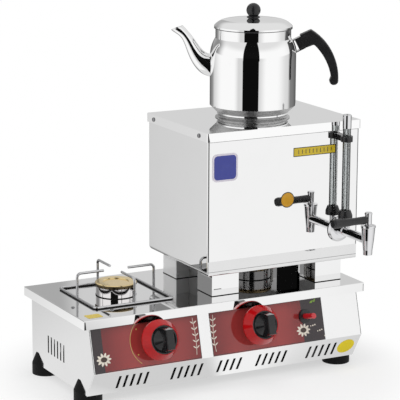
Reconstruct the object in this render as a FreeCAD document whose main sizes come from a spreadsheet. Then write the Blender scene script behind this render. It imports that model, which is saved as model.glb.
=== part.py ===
import FreeCAD, Part
import os
import re

import Sketcher

# Gas tea stove: a stove base with two burners, a square boiler with a tap and a
# water gauge, and a teapot on the boiler's lid. Millimetres, X right, Y back, Z up.
# The origin is on the table, under the middle of the outer box.

SIZES = (
    ("deck_length", 560.0, "cooktop, left to right"),
    ("deck_depth", 255.5, "cooktop, front to back"),
    ("deck_top", 157.1, "cooktop surface above the table"),
    ("deck_lip", 16.3, "height of the cooktop's folded lip"),
    ("deck_y", 36.6, "middle of the cooktop behind the origin"),
    ("corner_slit", 1.0, "open slit at each corner of the lip"),
    ("sheet_wall", 1.2, "stainless sheet"),
    ("seam", 0.3, "gap between neighbouring folded parts"),
    ("fold_flange", 13.0, "inward flange of the folded panels"),
    ("casing_width", 536.0, "over both side panels"),
    ("casing_bottom", 18.0, "underside of the casing"),
    ("casing_back", 121.8, "rear face behind the cooktop's middle"),
    ("face_top_reach", 120.3, "control face before the middle, at the lip"),
    ("knee_reach", 141.2, "knee of the front before the middle"),
    ("knee_height", 64.4, "knee of the front above the table"),
    ("skirt_reach", 112.5, "lower edge of the skirt before the middle"),
    ("slot_width", 4.8, "skirt slots"),
    ("slot_pitch", 13.3, "skirt slots"),
    ("slot_start", 13.0, "skirt slots, from the knee down the skirt"),
    ("slot_length", 31.0, "skirt slots"),
    ("vent_width", 5.0, "side vents"),
    ("vent_pitch", 13.2, "side vents"),
    ("vent_low", 52.0, "lower end of the side vents"),
    ("vent_length", 32.0, "side vents"),
    ("vent_front", 16.0, "front vent before the middle"),
    ("plate_wall", 0.8, "printed control plates"),
    ("plate_drop", 2.5, "plates, below the lip along the face"),
    ("plate_height", 76.3, "plates, down the face"),
    ("left_plate_start", 265.5, "left plate's left edge, left of the middle"),
    ("left_plate_length", 204.9, "left plate"),
    ("right_plate_start", 37.3, "right plate's left edge, left of the middle"),
    ("right_plate_length", 228.8, "right plate"),
    ("foot_inset", 16.0, "middles of the feet inside the casing's sides"),
    ("foot_front", 81.0, "front feet before the middle"),
    ("foot_back", 98.0, "rear feet behind the middle"),
    ("foot_radius", 25.0, "rubber feet"),
    ("horn_start", 20.0, "where the foot's horn begins to narrow"),
    ("horn_top", 39.5, "tip of the horn"),
    ("horn_radius", 17.0, "radius of the horn's cone at its tip"),
    ("screw_head", 3.6, "radius of the pan heads"),
    ("screw_head_height", 1.8, "pan heads"),
    ("screw_radius", 2.0, "screw shanks"),
    ("screw_play", 0.2, "radial play of a screw in its hole"),
    ("screw_length", 9.0, "screw shanks"),
    ("front_screw_x", 207.0, "cooktop screw left of the middle"),
    ("front_screw_y", 84.7, "cooktop screw before the middle"),
    ("side_screw_x", 260.8, "side screw left of the middle"),
    ("side_screw_y", 40.8, "side screw before the middle"),
    ("knob_drop", 34.9, "knob axes, down the face from the lip"),
    ("left_knob_x", -147.6, "left knob axis"),
    ("right_knob_x", 50.9, "right knob axis"),
    ("dial_radius", 35.3, "red dial"),
    ("dial_back", 21.5, "back of the dial off the face"),
    ("dial_edge", 2.5, "straight edge of the dial"),
    ("dial_front", 38.8, "front edge of the dial's cone off the face"),
    ("dial_lip", 26.2, "radius of the cone's front edge"),
    ("dial_wall", 2.5, "wall of the dial"),
    ("grip_radius", 24.6, "black grip"),
    ("grip_seat", 5.5, "depth at which the grip sits in the dial"),
    ("grip_sunk", 0.6, "rim of the grip behind the front of the dial"),
    ("grip_rim", 2.0, "width of the grip's rim"),
    ("grip_groove", 2.0, "depth of the groove inside the rim"),
    ("groove_width", 3.6, "groove inside the rim"),
    ("cone_radius", 7.0, "top of the grip's cone"),
    ("cone_height", 11.0, "top of the grip's cone, above its rim"),
    ("grip_front", 64.0, "front of the grip off the face"),
    ("blade_wall", 14.6, "finger blade of the grip"),
    ("blade_root", 22.0, "half length of the blade at the rim"),
    ("blade_tip", 17.0, "half length of the blade at its front"),
    ("blade_round", 1.4, "rounding of the blade's front"),
    ("hub_radius", 8.0, "hub of the grip behind the dial"),
    ("hub_back", 6.5, "back of the hub off the face"),
    ("spindle_radius", 4.0, "valve spindle"),
    ("spindle_end", 36.0, "outer end of the spindle off the face"),
    ("spindle_tail", 22.0, "inner end of the spindle behind the face"),
    ("spindle_play", 0.05, "running fit of the spindle"),
    ("push_travel", 3.5, "how far the knob is pushed in"),
    ("washer_radius", 7.0, "press washer of the valve"),
    ("washer_wall", 2.0, "press washer of the valve"),
    ("washer_depth", 10.0, "press washer behind the face at rest"),
    ("chamber_radius", 7.4, "chamber for the press washer"),
    ("valve_radius", 11.0, "brass valve body"),
    ("valve_depth", 42.0, "rear of the valve behind the face"),
    ("spigot_radius", 5.0, "short pipe between valve and rail"),
    ("rail_radius", 7.0, "gas rail"),
    ("rail_bore", 5.5, "gas rail"),
    ("branch_radius", 6.0, "branch of the rail to the inlet"),
    ("branch_bore", 4.5, "branch of the rail to the inlet"),
    ("rail_depth", 52.0, "gas rail behind the face"),
    ("rail_overhang", 20.0, "gas rail beyond the left knob"),
    ("inlet_x", 205.0, "gas inlet right of the middle"),
    ("inlet_radius", 10.48, "half-inch male pipe of the inlet"),
    ("inlet_length", 18.0, "half-inch male pipe of the inlet"),
    ("inlet_flange", 6.0, "hexagon of the inlet"),
    ("inlet_hex", 27.0, "hexagon of the inlet, across flats"),
    ("jet_radius", 4.0, "brass jet"),
    ("jet_length", 8.0, "brass jet"),
    ("riser_radius", 5.5, "riser from the valve to the jet"),
    ("tube_height", 128.0, "axis of the mixing tubes"),
    ("tube_radius", 9.0, "mixing tubes"),
    ("tube_wall", 1.5, "mixing tubes"),
    ("tube_mouth", 12.0, "bell mouth of the mixing tubes"),
    ("mouth_length", 16.0, "bell mouth of the mixing tubes"),
    ("jet_gap", 6.0, "air gap from the jet to the mouth"),
    ("riser_setback", 22.0, "riser behind the valve's face point"),
    ("left_burner_x", -156.0, "left burner"),
    ("boiler_x", 120.2, "middle of the boiler and of the right burner"),
    ("burner_y", 5.5, "burners and boiler behind the middle"),
    ("burner_hole", 23.0, "radius of the burner holes"),
    ("cup_radius", 35.5, "chromed burner cups"),
    ("cup_height", 17.0, "burner cups above the cooktop"),
    ("cup_wall", 3.0, "burner cups"),
    ("neck_radius", 22.5, "neck of the cup through the cooktop"),
    ("neck_depth", 12.0, "neck of the cup below the surface"),
    ("neck_bore", 7.5, "bore of the neck"),
    ("cap_radius", 37.0, "brass burner caps"),
    ("cap_top", 24.0, "top of the caps above the cooktop"),
    ("cap_wall", 4.6, "rim of the caps"),
    ("cap_dish", 23.0, "recessed disc of the caps"),
    ("cap_dish_depth", 1.6, "recessed disc of the caps"),
    ("port_ring", 34.5, "ring with the flame ports"),
    ("port_count", 24.0, "flame ports"),
    ("port_width", 2.4, "flame ports"),
    ("skirt_radius", 32.2, "locating skirt of the caps"),
    ("skirt_wall", 2.2, "locating skirt of the caps"),
    ("skirt_drop", 5.0, "locating skirt below the cup's rim"),
    ("wire_radius", 2.3, "wire of the pot support"),
    ("support_side", 150.4, "wire square, centre to centre"),
    ("support_corner", 6.0, "bend radius of the square"),
    ("support_top", 48.5, "arms above the cooktop"),
    ("support_bend", 7.0, "bend radius of the arms"),
    ("support_reach", 24.0, "arm ends from the burner's axis"),
    ("igniter_x", 154.0, "igniter right of the middle"),
    ("igniter_drop", 32.0, "igniter, down the face from the lip"),
    ("bezel_radius", 12.6, "black collar of the igniter"),
    ("bezel_wall", 3.2, "black collar of the igniter"),
    ("bezel_neck", 8.5, "threaded neck of the collar"),
    ("bezel_depth", 8.0, "neck of the collar behind the face"),
    ("button_radius", 5.25, "red button"),
    ("button_play", 0.3, "button in its collar"),
    ("button_end", 34.0, "end of the button off the face"),
    ("button_tail", 14.0, "inner end of the button behind the face"),
    ("button_travel", 8.0, "how far the button is pushed in"),
    ("piezo_radius", 9.5, "piezo unit"),
    ("piezo_depth", 44.0, "rear of the piezo unit behind the face"),
    ("electrode_gap", 43.0, "electrode from the right burner's axis"),
    ("electrode_radius", 3.0, "ceramic of the electrode"),
    ("electrode_top", 16.0, "ceramic above the cooktop"),
    ("electrode_drop", 12.0, "ceramic below the cooktop"),
    ("pin_radius", 1.0, "metal tip of the electrode"),
    ("pin_length", 7.0, "metal tip of the electrode"),
    ("boiler_width", 306.8, "boiler, left to right"),
    ("boiler_depth", 228.0, "boiler, front to back"),
    ("boiler_bottom", 200.9, "underside of the boiler"),
    ("boiler_fold", 7.0, "rounded lower edge of the boiler"),
    ("boiler_corner", 3.0, "upright edges of the boiler"),
    ("lid_top", 455.4, "top of the boiler's lid"),
    ("lid_lip", 15.8, "lip of the lid"),
    ("lid_overhang", 2.5, "lid beyond the boiler on each side"),
    ("leg_width", 54.0, "legs, along X"),
    ("leg_front_depth", 54.0, "front legs, along Y"),
    ("leg_back_depth", 51.0, "rear legs, along Y"),
    ("leg_inset", 20.0, "legs from the boiler's sides"),
    ("leg_tab", 20.0, "foot tab of the legs"),
    ("collar_radius", 60.5, "neck of the lid that carries the teapot"),
    ("collar_height", 8.5, "neck above the lid"),
    ("teapot_x", 115.0, "teapot axis"),
    ("teapot_y", -1.0, "teapot axis behind the cooktop's middle"),
    ("lid_screw_front", 79.4, "lid screws before the middle"),
    ("lid_screw_back", 94.5, "lid screws behind the middle"),
    ("lid_screw_drop", 8.4, "lid screws below the top"),
    ("lid_screw_length", 5.0, "lid screw shanks"),
    ("tap_x", 235.0, "tap and gauge"),
    ("tap_height", 258.0, "axis of the tap's shank"),
    ("tap_reach", 97.4, "axis of the tap's cup before the panel"),
    ("shank_radius", 8.0, "shank of the tap"),
    ("shank_tail", 16.0, "shank inside the boiler"),
    ("shank_bore", 5.0, "water way of the shank"),
    ("seal_wall", 1.5, "flat seals of the tap"),
    ("seal_radius", 13.0, "flat seals of the tap"),
    ("escutcheon_radius", 23.0, "round shield behind the tap"),
    ("escutcheon_wall", 6.0, "round shield behind the tap"),
    ("nut_flats", 24.0, "tap's back nut across flats"),
    ("nut_wall", 6.0, "tap's back nut"),
    ("tap_collar_radius", 11.0, "collar on the shank, against the shield"),
    ("tap_collar_length", 5.0, "collar on the shank, against the shield"),
    ("spout_drop", 26.0, "lower end of the tap's spout, below the shank's axis"),
    ("spout_radius", 8.0, "spout at its lower end"),
    ("spout_lip", 9.0, "straight end of the spout"),
    ("cup_waist", 1.0, "where the spout widens to the cup, above the shank's axis"),
    ("waist_radius", 10.7, "cup at that height"),
    ("cup_rim_radius", 13.2, "rim of the tap's cup"),
    ("cup_rim_top", 27.0, "rim of the tap's cup, above the shank's axis"),
    ("cup_rim_wall", 4.0, "rim of the tap's cup"),
    ("plug_radius", 9.0, "tap plug"),
    ("plug_play", 0.05, "running fit of the plug"),
    ("plug_length", 23.0, "tap plug below the rim of the cup"),
    ("port_radius", 4.0, "side port of the plug"),
    ("head_radius", 6.15, "head of the plug"),
    ("head_low", 2.0, "straight part of the head, above the rim of the cup"),
    ("head_length", 20.0, "top of the head, above the rim of the cup"),
    ("crown_radius", 6.75, "screw on the head"),
    ("crown_wall", 3.5, "screw on the head"),
    ("handle_height", 10.0, "axis of the tap's handle, above the rim of the cup"),
    ("stem_radius", 2.5, "metal stem of the handle in the head"),
    ("stem_play", 0.1, "stem in its hole"),
    ("lever_root", 7.0, "radius of the handle at the head"),
    ("handle_end_radius", 8.5, "radius of the handle at its end"),
    ("handle_length", 74.0, "end of the handle from the plug's axis"),
    ("gauge_reach", 21.3, "gauge axis before the panel"),
    ("gauge_radius", 7.2, "gauge tube"),
    ("gauge_bore", 5.4, "gauge tube"),
    ("nipple_radius", 5.2, "nipple under the gauge"),
    ("gauge_nut_radius", 13.0, "black nut of the gauge"),
    ("gauge_nut_low", 23.0, "black nut of the gauge, above the tap's shank"),
    ("gauge_nut_height", 16.0, "black nut of the gauge"),
    ("gauge_nut_band", 7.0, "straight band of the nut"),
    ("gauge_seat", 8.0, "lower end of the gauge tube, above the foot of the nut"),
    ("gauge_cap_top", 471.0, "top of the gauge above the table"),
    ("gauge_cap_height", 25.0, "chrome cap of the gauge"),
    ("gauge_cap_radius", 7.9, "chrome cap of the gauge"),
    ("gauge_play", 0.1, "gauge tube in its nut and cap"),
    ("clamp_low", 422.0, "black clamp of the gauge"),
    ("clamp_height", 10.0, "black clamp of the gauge"),
    ("clamp_wall", 3.4, "black clamp of the gauge"),
    ("pot_wall", 1.2, "teapot sheet"),
    ("pot_base", 64.3, "flat base of the teapot"),
    ("pot_foot", 2.5, "straight foot of the teapot"),
    ("pot_bevel", 12.5, "height of the bevel above the foot"),
    ("pot_radius", 77.2, "teapot body"),
    ("pot_shoulder", 112.0, "where the shoulder starts, above the boiler lid"),
    ("pot_neck", 67.7, "neck of the teapot"),
    ("pot_neck_low", 144.0, "neck of the teapot, above the boiler lid"),
    ("pot_neck_top", 161.0, "neck of the teapot, above the boiler lid"),
    ("shoulder_curve", 60.0, "radius of the shoulder"),
    ("heel_drop", 3.5, "locating heel below the base"),
    ("heel_play", 1.0, "heel in the lid's neck"),
    ("strainer_hole", 1.75, "radius of the holes of the strainer before the spout"),
    ("strainer_pitch", 5.5, "rings of holes of the strainer"),
    ("cover_radius", 70.0, "rim of the teapot's lid"),
    ("cover_wall", 1.2, "teapot lid"),
    ("cover_rim", 4.5, "rim of the teapot's lid"),
    ("cover_skirt", 12.0, "skirt of the lid inside the neck"),
    ("cover_play", 0.6, "skirt in the neck"),
    ("cover_edge", 30.0, "curve of the lid beside its rim"),
    ("cover_curve", 300.0, "curve of the lid's middle"),
    ("cover_break", 52.0, "radius where the two curves meet"),
    ("cover_break_up", 10.5, "height where they meet, above the rim"),
    ("cover_dome", 14.7, "top of the dome, above the rim"),
    ("knob_foot", 11.8, "foot of the lid's knob"),
    ("knob_neck", 8.5, "neck of the lid's knob"),
    ("knob_ball", 12.7, "ball of the lid's knob"),
    ("knob_height", 12.8, "middle of the ball, above the dome"),
    ("handle_turn", 28.8, "handle, degrees forward from +X"),
    ("handle_width", 17.0, "teapot's handle"),
    ("handle_step", 3.0, "handle above the bracket where it leaves it"),
    ("handle_root", 12.0, "root of the handle in the bracket"),
    ("bracket_out", 89.15, "middle of the bracket's open end from the teapot's axis"),
    ("bracket_up", 137.0, "middle of the bracket's open end, above the boiler lid"),
    ("bracket_lean", 27.0, "slope of the bracket in degrees"),
    ("bracket_reach", 24.0, "bracket before it is cut to the shoulder"),
    ("bracket_height", 22.7, "bracket"),
    ("bracket_width", 17.0, "bracket"),
    ("bracket_wall", 1.5, "bracket sheet"),
)

# Cross-sections of the spout, outward from the pot: distance from the teapot's axis, height
# above the boiler lid, half height, half width, lean in degrees.
STATION_SIZES = ("out", "up", "tall", "wide", "lean")
SPOUT = (
    (70.0, 93.0, 21.0, 16.0, 0.0),
    (84.0, 96.5, 19.0, 15.0, 25.0),
    (94.0, 104.5, 16.0, 13.5, 45.0),
    (102.0, 114.5, 13.3, 12.0, 58.0),
    (110.5, 129.5, 10.7, 10.0, 62.0),
    (117.5, 142.0, 9.0, 8.7, 58.0),
    (126.5, 153.0, 8.6, 8.0, 46.0),
    (136.4, 160.5, 10.8, 8.4, 70.0),
)
# Corners of the handle's side outline beyond the bracket: distance from the teapot's axis,
# height above the boiler lid, radius of the arc that leaves the corner, 0 for a straight edge.
CORNER_SIZES = ("out", "up", "bend")
HANDLE = (
    (105.5, 131.3, -3.6),
    (109.3, 131.7, -103.2),
    (139.7, 74.5, 0.0),
    (136.9, 68.0, 8.2),
    (144.9, 59.7, 8.2),
    (153.0, 69.4, 101.5),
    (102.9, 159.2, 0.0),
)
for limb, stations, names in (("spout", SPOUT, STATION_SIZES), ("handle", HANDLE, CORNER_SIZES)):
    for index, station in enumerate(stations):
        SIZES += tuple((f"{limb}{index}_{size}", value, f"{limb}, place {index}")
                       for size, value in zip(names, station) if size != "bend" or value)

doc = FreeCAD.newDocument("TeaStove")
sheet = doc.addObject("Spreadsheet::Sheet", "Sizes")
for row, (alias, value, meaning) in enumerate(SIZES, start=1):
    sheet.set(f"A{row}", meaning)
    sheet.set(f"B{row}", str(value))
    sheet.setAlias(f"B{row}", alias)
doc.recompute()

ALIASES = {alias for alias, value, meaning in SIZES}
WORD = re.compile(r"[a-z][a-z0-9_]*")
NODES = {}
ROUNDING = 0.01  # how far an edge may lie off a plane and still count as on it, in mm


def bound(text):
    """Point every size that an expression names at the sheet."""
    return WORD.sub(lambda m: f"Sizes.{m[0]}" if m[0] in ALIASES else m[0], str(text))


def number(text):
    """Value of an expression now, for the first drawing of a sketch."""
    result = sheet.evalExpression(str(text))
    return float(getattr(result, "Value", result))


def set_size(thing, **sizes):
    """Bind properties of an object to expressions of the sheet."""
    for name, text in sizes.items():
        thing.setExpression(name, bound(text))


def place(thing, x="0", y="0", z="0", axis=None, angle="0"):
    """Put an object where three expressions say, turned about one axis."""
    if axis:
        turn = FreeCAD.Rotation(FreeCAD.Vector(*axis), number(angle))
        thing.Placement = FreeCAD.Placement(FreeCAD.Vector(), turn)
        thing.setExpression("Placement.Rotation.Angle", bound(angle))
    for letter, text in (("x", x), ("y", y), ("z", z)):
        thing.setExpression(f"Placement.Base.{letter}", bound(text))


def keep(name, thing):
    """Name an object as a sub-part that is written to its own file."""
    thing.Label = name
    NODES[name] = thing
    return thing


def new_body(name):
    """PartDesign body of one sub-part."""
    return keep(name, doc.addObject("PartDesign::Body", name))


def origin_part(body, role):
    """Origin plane or axis of a body."""
    return next(o for o in body.Origin.OriginFeatures if o.Role == role)


def sketch(body, plane, name, lift="0", side="0", up="0", tilt=None):
    """Sketch on an origin plane, lifted along its normal and tilted about its own X."""
    flat = body.newObject("Sketcher::SketchObject", f"{body.Name}_{name}")
    flat.AttachmentSupport = [(origin_part(body, plane), "")]
    flat.MapMode = "FlatFace"
    if tilt:
        turn = FreeCAD.Rotation(FreeCAD.Vector(1, 0, 0), number(tilt))
        flat.AttachmentOffset = FreeCAD.Placement(FreeCAD.Vector(), turn)
        flat.setExpression("AttachmentOffset.Rotation.Angle", bound(tilt))
    for letter, text in (("x", side), ("y", up), ("z", lift)):
        flat.setExpression(f"AttachmentOffset.Base.{letter}", bound(text))
    return flat


def tie(flat, piece, end, x, y):
    """Hold one point of a sketch at a place given by two expressions."""
    for kind, text, axis in (("DistanceX", x, -2), ("DistanceY", y, -1)):
        if str(text) == "0":
            flat.addConstraint(Sketcher.Constraint("PointOnObject", piece, end, axis))
        else:
            rule = Sketcher.Constraint(kind, -1, 1, piece, end, number(text))
            index = flat.addConstraint(rule)
            flat.setExpression(f"Constraints[{index}]", bound(text))


def arc_edge(start, end, radius):
    """Arc from start to end; a positive radius turns left, a negative one right."""
    half = (end - start) * 0.5
    rise = max(radius * radius - half.Length ** 2, 0.0) ** 0.5
    left = FreeCAD.Vector(-half.y, half.x, 0).normalize()
    centre = start + half + left * (rise if radius > 0 else -rise)
    circle = Part.Circle(centre, FreeCAD.Vector(0, 0, 1), abs(radius))
    first, last = (start, end) if radius > 0 else (end, start)
    return Part.ArcOfCircle(circle, circle.parameter(first), circle.parameter(last))


def outline(flat, corners):
    """Closed outline; a corner's third entry is the radius of the arc that leaves it."""
    spots = [FreeCAD.Vector(number(c[0]), number(c[1]), 0) for c in corners]
    ends = []
    for index, corner in enumerate(corners):
        start = spots[index]
        end = spots[(index + 1) % len(spots)]
        if len(corner) == 3:
            radius = number(corner[2])
            edge = flat.addGeometry(arc_edge(start, end, radius))
            ends.append((edge, 1, 2) if radius > 0 else (edge, 2, 1))
            rule = flat.addConstraint(Sketcher.Constraint("Radius", edge, abs(radius)))
            flat.setExpression(f"Constraints[{rule}]", bound(f"abs({corner[2]})"))
        else:
            ends.append((flat.addGeometry(Part.LineSegment(start, end)), 1, 2))
    for index, (edge, first, last) in enumerate(ends):
        following, begin, _ = ends[(index + 1) % len(ends)]
        flat.addConstraint(Sketcher.Constraint("Coincident", edge, last, following, begin))
        tie(flat, edge, first, *corners[index][:2])


def rectangle(flat, left, bottom, right, top):
    """Rectangle between two corners."""
    outline(flat, ((left, bottom), (right, bottom), (right, top), (left, top)))


def circle(flat, radius, x="0", y="0"):
    """Circle at a point."""
    spot = FreeCAD.Vector(number(x), number(y), 0)
    ring = Part.Circle(spot, FreeCAD.Vector(0, 0, 1), number(radius))
    edge = flat.addGeometry(ring)
    tie(flat, edge, 3, x, y)
    rule = flat.addConstraint(Sketcher.Constraint("Radius", edge, number(radius)))
    flat.setExpression(f"Constraints[{rule}]", bound(radius))


def hexagon(flat, flats):
    """Hexagon about the sketch's origin, given across its flats."""
    far = f"({flats} / sqrt(3))"
    low = f"({flats} / 2)"
    outline(flat, ((far, "0"), (f"{far} / 2", low), (f"-{far} / 2", low),
                   (f"-{far}", "0"), (f"-{far} / 2", f"-{low}"), (f"{far} / 2", f"-{low}")))


def pad(body, flat, length, both=False):
    """Pad a sketch along its normal, or to both sides."""
    feature = body.newObject("PartDesign::Pad", f"{flat.Name}_pad")
    feature.Profile = flat
    feature.SideType = "Symmetric" if both else "One side"
    set_size(feature, Length=length)
    return feature


def pocket(body, flat, length, both=False, along=True):
    """Cut a sketch out along its normal, against it, or to both sides."""
    feature = body.newObject("PartDesign::Pocket", f"{flat.Name}_pocket")
    feature.Profile = flat
    feature.SideType = "Symmetric" if both else "One side"
    feature.Reversed = along and not both
    set_size(feature, Length=length)
    return feature


def revolve(body, flat, kind="Revolution"):
    """Turn a sketch about its upright axis, as a solid or as a groove."""
    feature = body.newObject(f"PartDesign::{kind}", f"{flat.Name}_turn")
    feature.Profile = flat
    feature.ReferenceAxis = (flat, ["V_Axis"])
    feature.Angle = 360
    return feature


def row_of(body, feature, count, pitch, role="X_Axis"):
    """Repeat a feature in a row."""
    row = body.newObject("PartDesign::LinearPattern", f"{feature.Name}_row")
    row.Originals = [feature]
    row.Direction = (origin_part(body, role), [""])
    row.Occurrences = count
    set_size(row, Length=f"{pitch} * {count - 1}")
    body.Tip = row
    return row


def round_of(body, feature, count):
    """Repeat a feature round the body's Z axis; count names a size or is a number."""
    ring = body.newObject("PartDesign::PolarPattern", f"{feature.Name}_round")
    ring.Originals = [feature]
    ring.Axis = (origin_part(body, "Z_Axis"), [""])
    ring.Angle = 360
    set_size(ring, Occurrences=count)
    body.Tip = ring
    return ring


def fillet(body, feature, radius, wanted):
    """Round the edges of a feature that a test picks."""
    doc.recompute()
    names = [f"Edge{i}" for i, e in enumerate(feature.Shape.Edges, 1) if wanted(e)]
    rounding = body.newObject("PartDesign::Fillet", f"{feature.Name}_fillet")
    rounding.Base = (feature, names)
    set_size(rounding, Radius=radius)
    return rounding


def turned(name, *profile, plane="XZ_Plane"):
    """Body turned about its own Z axis, or Y on XY_Plane, from (radius, height) corners."""
    body = new_body(name)
    flat = sketch(body, plane, "profile")
    outline(flat, profile)
    revolve(body, flat)
    return body


def solid(kind, name, **sizes):
    """Part primitive whose sizes are bound to the sheet."""
    thing = doc.addObject(f"Part::{kind}", name)
    set_size(thing, **sizes)
    return thing


def joined(name, *pieces):
    """Fuse solids."""
    thing = doc.addObject("Part::MultiFuse", name)
    thing.Shapes = list(pieces)
    return thing


def without(name, base, *tools):
    """Cut tools out of a solid."""
    tool = tools[0] if len(tools) == 1 else joined(f"{name}_tools", *tools)
    thing = doc.addObject("Part::Cut", name)
    thing.Base = base
    thing.Tool = tool
    return thing


def group(name, pieces):
    """Several alike solids as one sub-part."""
    thing = doc.addObject("Part::Compound", name)
    thing.Links = list(pieces)
    return keep(name, thing)


def level(edge, height):
    """Whether an edge lies flat at a height of its body."""
    box = edge.BoundBox
    return max(abs(box.ZMin - height), abs(box.ZMax - height)) < ROUNDING


def upright(edge):
    """Whether an edge is a straight upright one."""
    box = edge.BoundBox
    return box.XLength + box.YLength < ROUNDING


DECK_UNDER = "(deck_top - sheet_wall)"
LIP_BOTTOM = "(deck_top - deck_lip)"
FOOT_X = "(casing_width / 2 - foot_inset)"
FACE_LEAN = "(knee_reach - face_top_reach)"
FACE_DROP = f"({LIP_BOTTOM} - knee_height)"
FACE_LENGTH = f"sqrt({FACE_LEAN}^2 + {FACE_DROP}^2)"
TILT = f"atan({FACE_LEAN} / {FACE_DROP})"
SKIRT_TILT = "atan((knee_reach - skirt_reach) / (knee_height - casing_bottom))"
FACE_RISE = f"({FACE_LEAN} / {FACE_DROP})"
TOP_REACH = f"(face_top_reach - (deck_lip - sheet_wall) * {FACE_RISE})"
BURNER_Y = "(deck_y + burner_y)"
LID_UNDER = "(lid_top - sheet_wall)"
PANEL_Y = "(burner_y - boiler_depth / 2)"
TEAPOT_Y = "(deck_y + teapot_y)"
GAUGE_SEAT = "(gauge_nut_low + gauge_seat)"
COVER_TOP = "(pot_neck_top + cover_rim + cover_dome)"
BURNERS = {"left": "left_burner_x", "right": "boiler_x"}
KNOBS = {"left": "left_knob_x", "right": "right_knob_x"}


def face_point(x, drop, out="0"):
    """Place on the control face: across, down the face and off it."""
    y = f"deck_y - face_top_reach - ({drop}) * {FACE_LEAN} / {FACE_LENGTH}"
    z = f"{LIP_BOTTOM} - ({drop}) * {FACE_DROP} / {FACE_LENGTH}"
    return {
        "x": x,
        "y": f"{y} - ({out}) * {FACE_DROP} / {FACE_LENGTH}",
        "z": f"{z} + ({out}) * {FACE_LEAN} / {FACE_LENGTH}",
    }


def on_face(thing, x, drop):
    """Stand a turned piece on the control face, its Z axis pointing out."""
    place(thing, **face_point(x, drop), axis=(1, 0, 0), angle=f"90 deg - {TILT}")


def make_cooktop():
    """Folded tray with burner holes, screw holes and slit corners."""
    body = new_body("cooktop")
    place(body, y="deck_y")
    flat = sketch(body, "XY_Plane", "sheet", lift=LIP_BOTTOM)
    rectangle(flat, "-deck_length / 2", "-deck_depth / 2", "deck_length / 2", "deck_depth / 2")
    blank = pad(body, flat, "deck_lip")
    fillet(body, blank, "sheet_wall", lambda e: level(e, number("deck_top")))
    flat = sketch(body, "XY_Plane", "inside", lift=LIP_BOTTOM)
    inner_x = "(deck_length / 2 - sheet_wall)"
    inner_y = "(deck_depth / 2 - sheet_wall)"
    rectangle(flat, f"-{inner_x}", f"-{inner_y}", inner_x, inner_y)
    pocket(body, flat, "deck_lip - sheet_wall")
    flat = sketch(body, "XY_Plane", "holes", lift=DECK_UNDER)
    for x in BURNERS.values():
        circle(flat, "burner_hole", x, "burner_y")
    circle(flat, "electrode_radius + screw_play", "boiler_x + electrode_gap", "burner_y")
    circle(flat, "screw_radius + screw_play", "-front_screw_x", "-front_screw_y")
    circle(flat, "screw_radius + screw_play", "-side_screw_x", "-side_screw_y")
    for x, y in leg_screws():
        circle(flat, "screw_radius + screw_play", x, y)
    pocket(body, flat, "sheet_wall * 2", both=True)
    flat = sketch(body, "XY_Plane", "slits", lift=LIP_BOTTOM)
    for x in ("-", ""):
        for y in ("-", ""):
            near = f"{x}({inner_x} - corner_slit)"
            far = f"{x}{inner_x}"
            low, high = (far, near) if x else (near, far)
            edge = f"{y}(deck_depth / 2 + sheet_wall)"
            deep = f"{y}{inner_y}"
            front, back = (edge, deep) if y else (deep, edge)
            rectangle(flat, low, front, high, back)
    pocket(body, flat, "deck_lip - 2 * sheet_wall")


def casing_outline(inset):
    """Side view of the casing, drawn in by an amount, as seen along X."""
    low = f"(casing_bottom + {inset})"
    high = f"({DECK_UNDER} - {inset})"
    front = f"({inset} + sheet_wall + seam)"
    return (
        (f"-({TOP_REACH} - {front})", high),
        (f"-(knee_reach - {front})", "knee_height"),
        (f"-(skirt_reach - {front})", low),
        (f"casing_back - sheet_wall - {inset}", low),
        (f"casing_back - sheet_wall - {inset}", high),
    )


def make_side_panel(name, sign):
    """Folded side with a flange all round and six vents."""
    body = new_body(name)
    place(body, y="deck_y")
    outer = f"{sign}(casing_width / 2)"
    start = outer if sign == "-" else "(casing_width / 2 - fold_flange)"
    flat = sketch(body, "YZ_Plane", "blank", lift=start)
    outline(flat, casing_outline("0"))
    pad(body, flat, "fold_flange")
    inner = f"({outer} + sheet_wall)" if sign == "-" else start
    flat = sketch(body, "YZ_Plane", "inside", lift=inner)
    outline(flat, casing_outline("sheet_wall"))
    pocket(body, flat, "fold_flange - sheet_wall")
    flat = sketch(body, "YZ_Plane", "vent", lift=outer)
    rectangle(flat, "-vent_front - vent_width / 2", "vent_low",
              "-vent_front + vent_width / 2", "vent_low + vent_length")
    vent = pocket(body, flat, "sheet_wall * 3", both=True)
    row_of(body, vent, 6, "vent_pitch", "Y_Axis")
    if sign == "-":
        flat = sketch(body, "XY_Plane", "screw", lift=DECK_UNDER)
        circle(flat, "screw_radius + screw_play", "-side_screw_x", "-side_screw_y")
        pocket(body, flat, "sheet_wall * 3", both=True)


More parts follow.
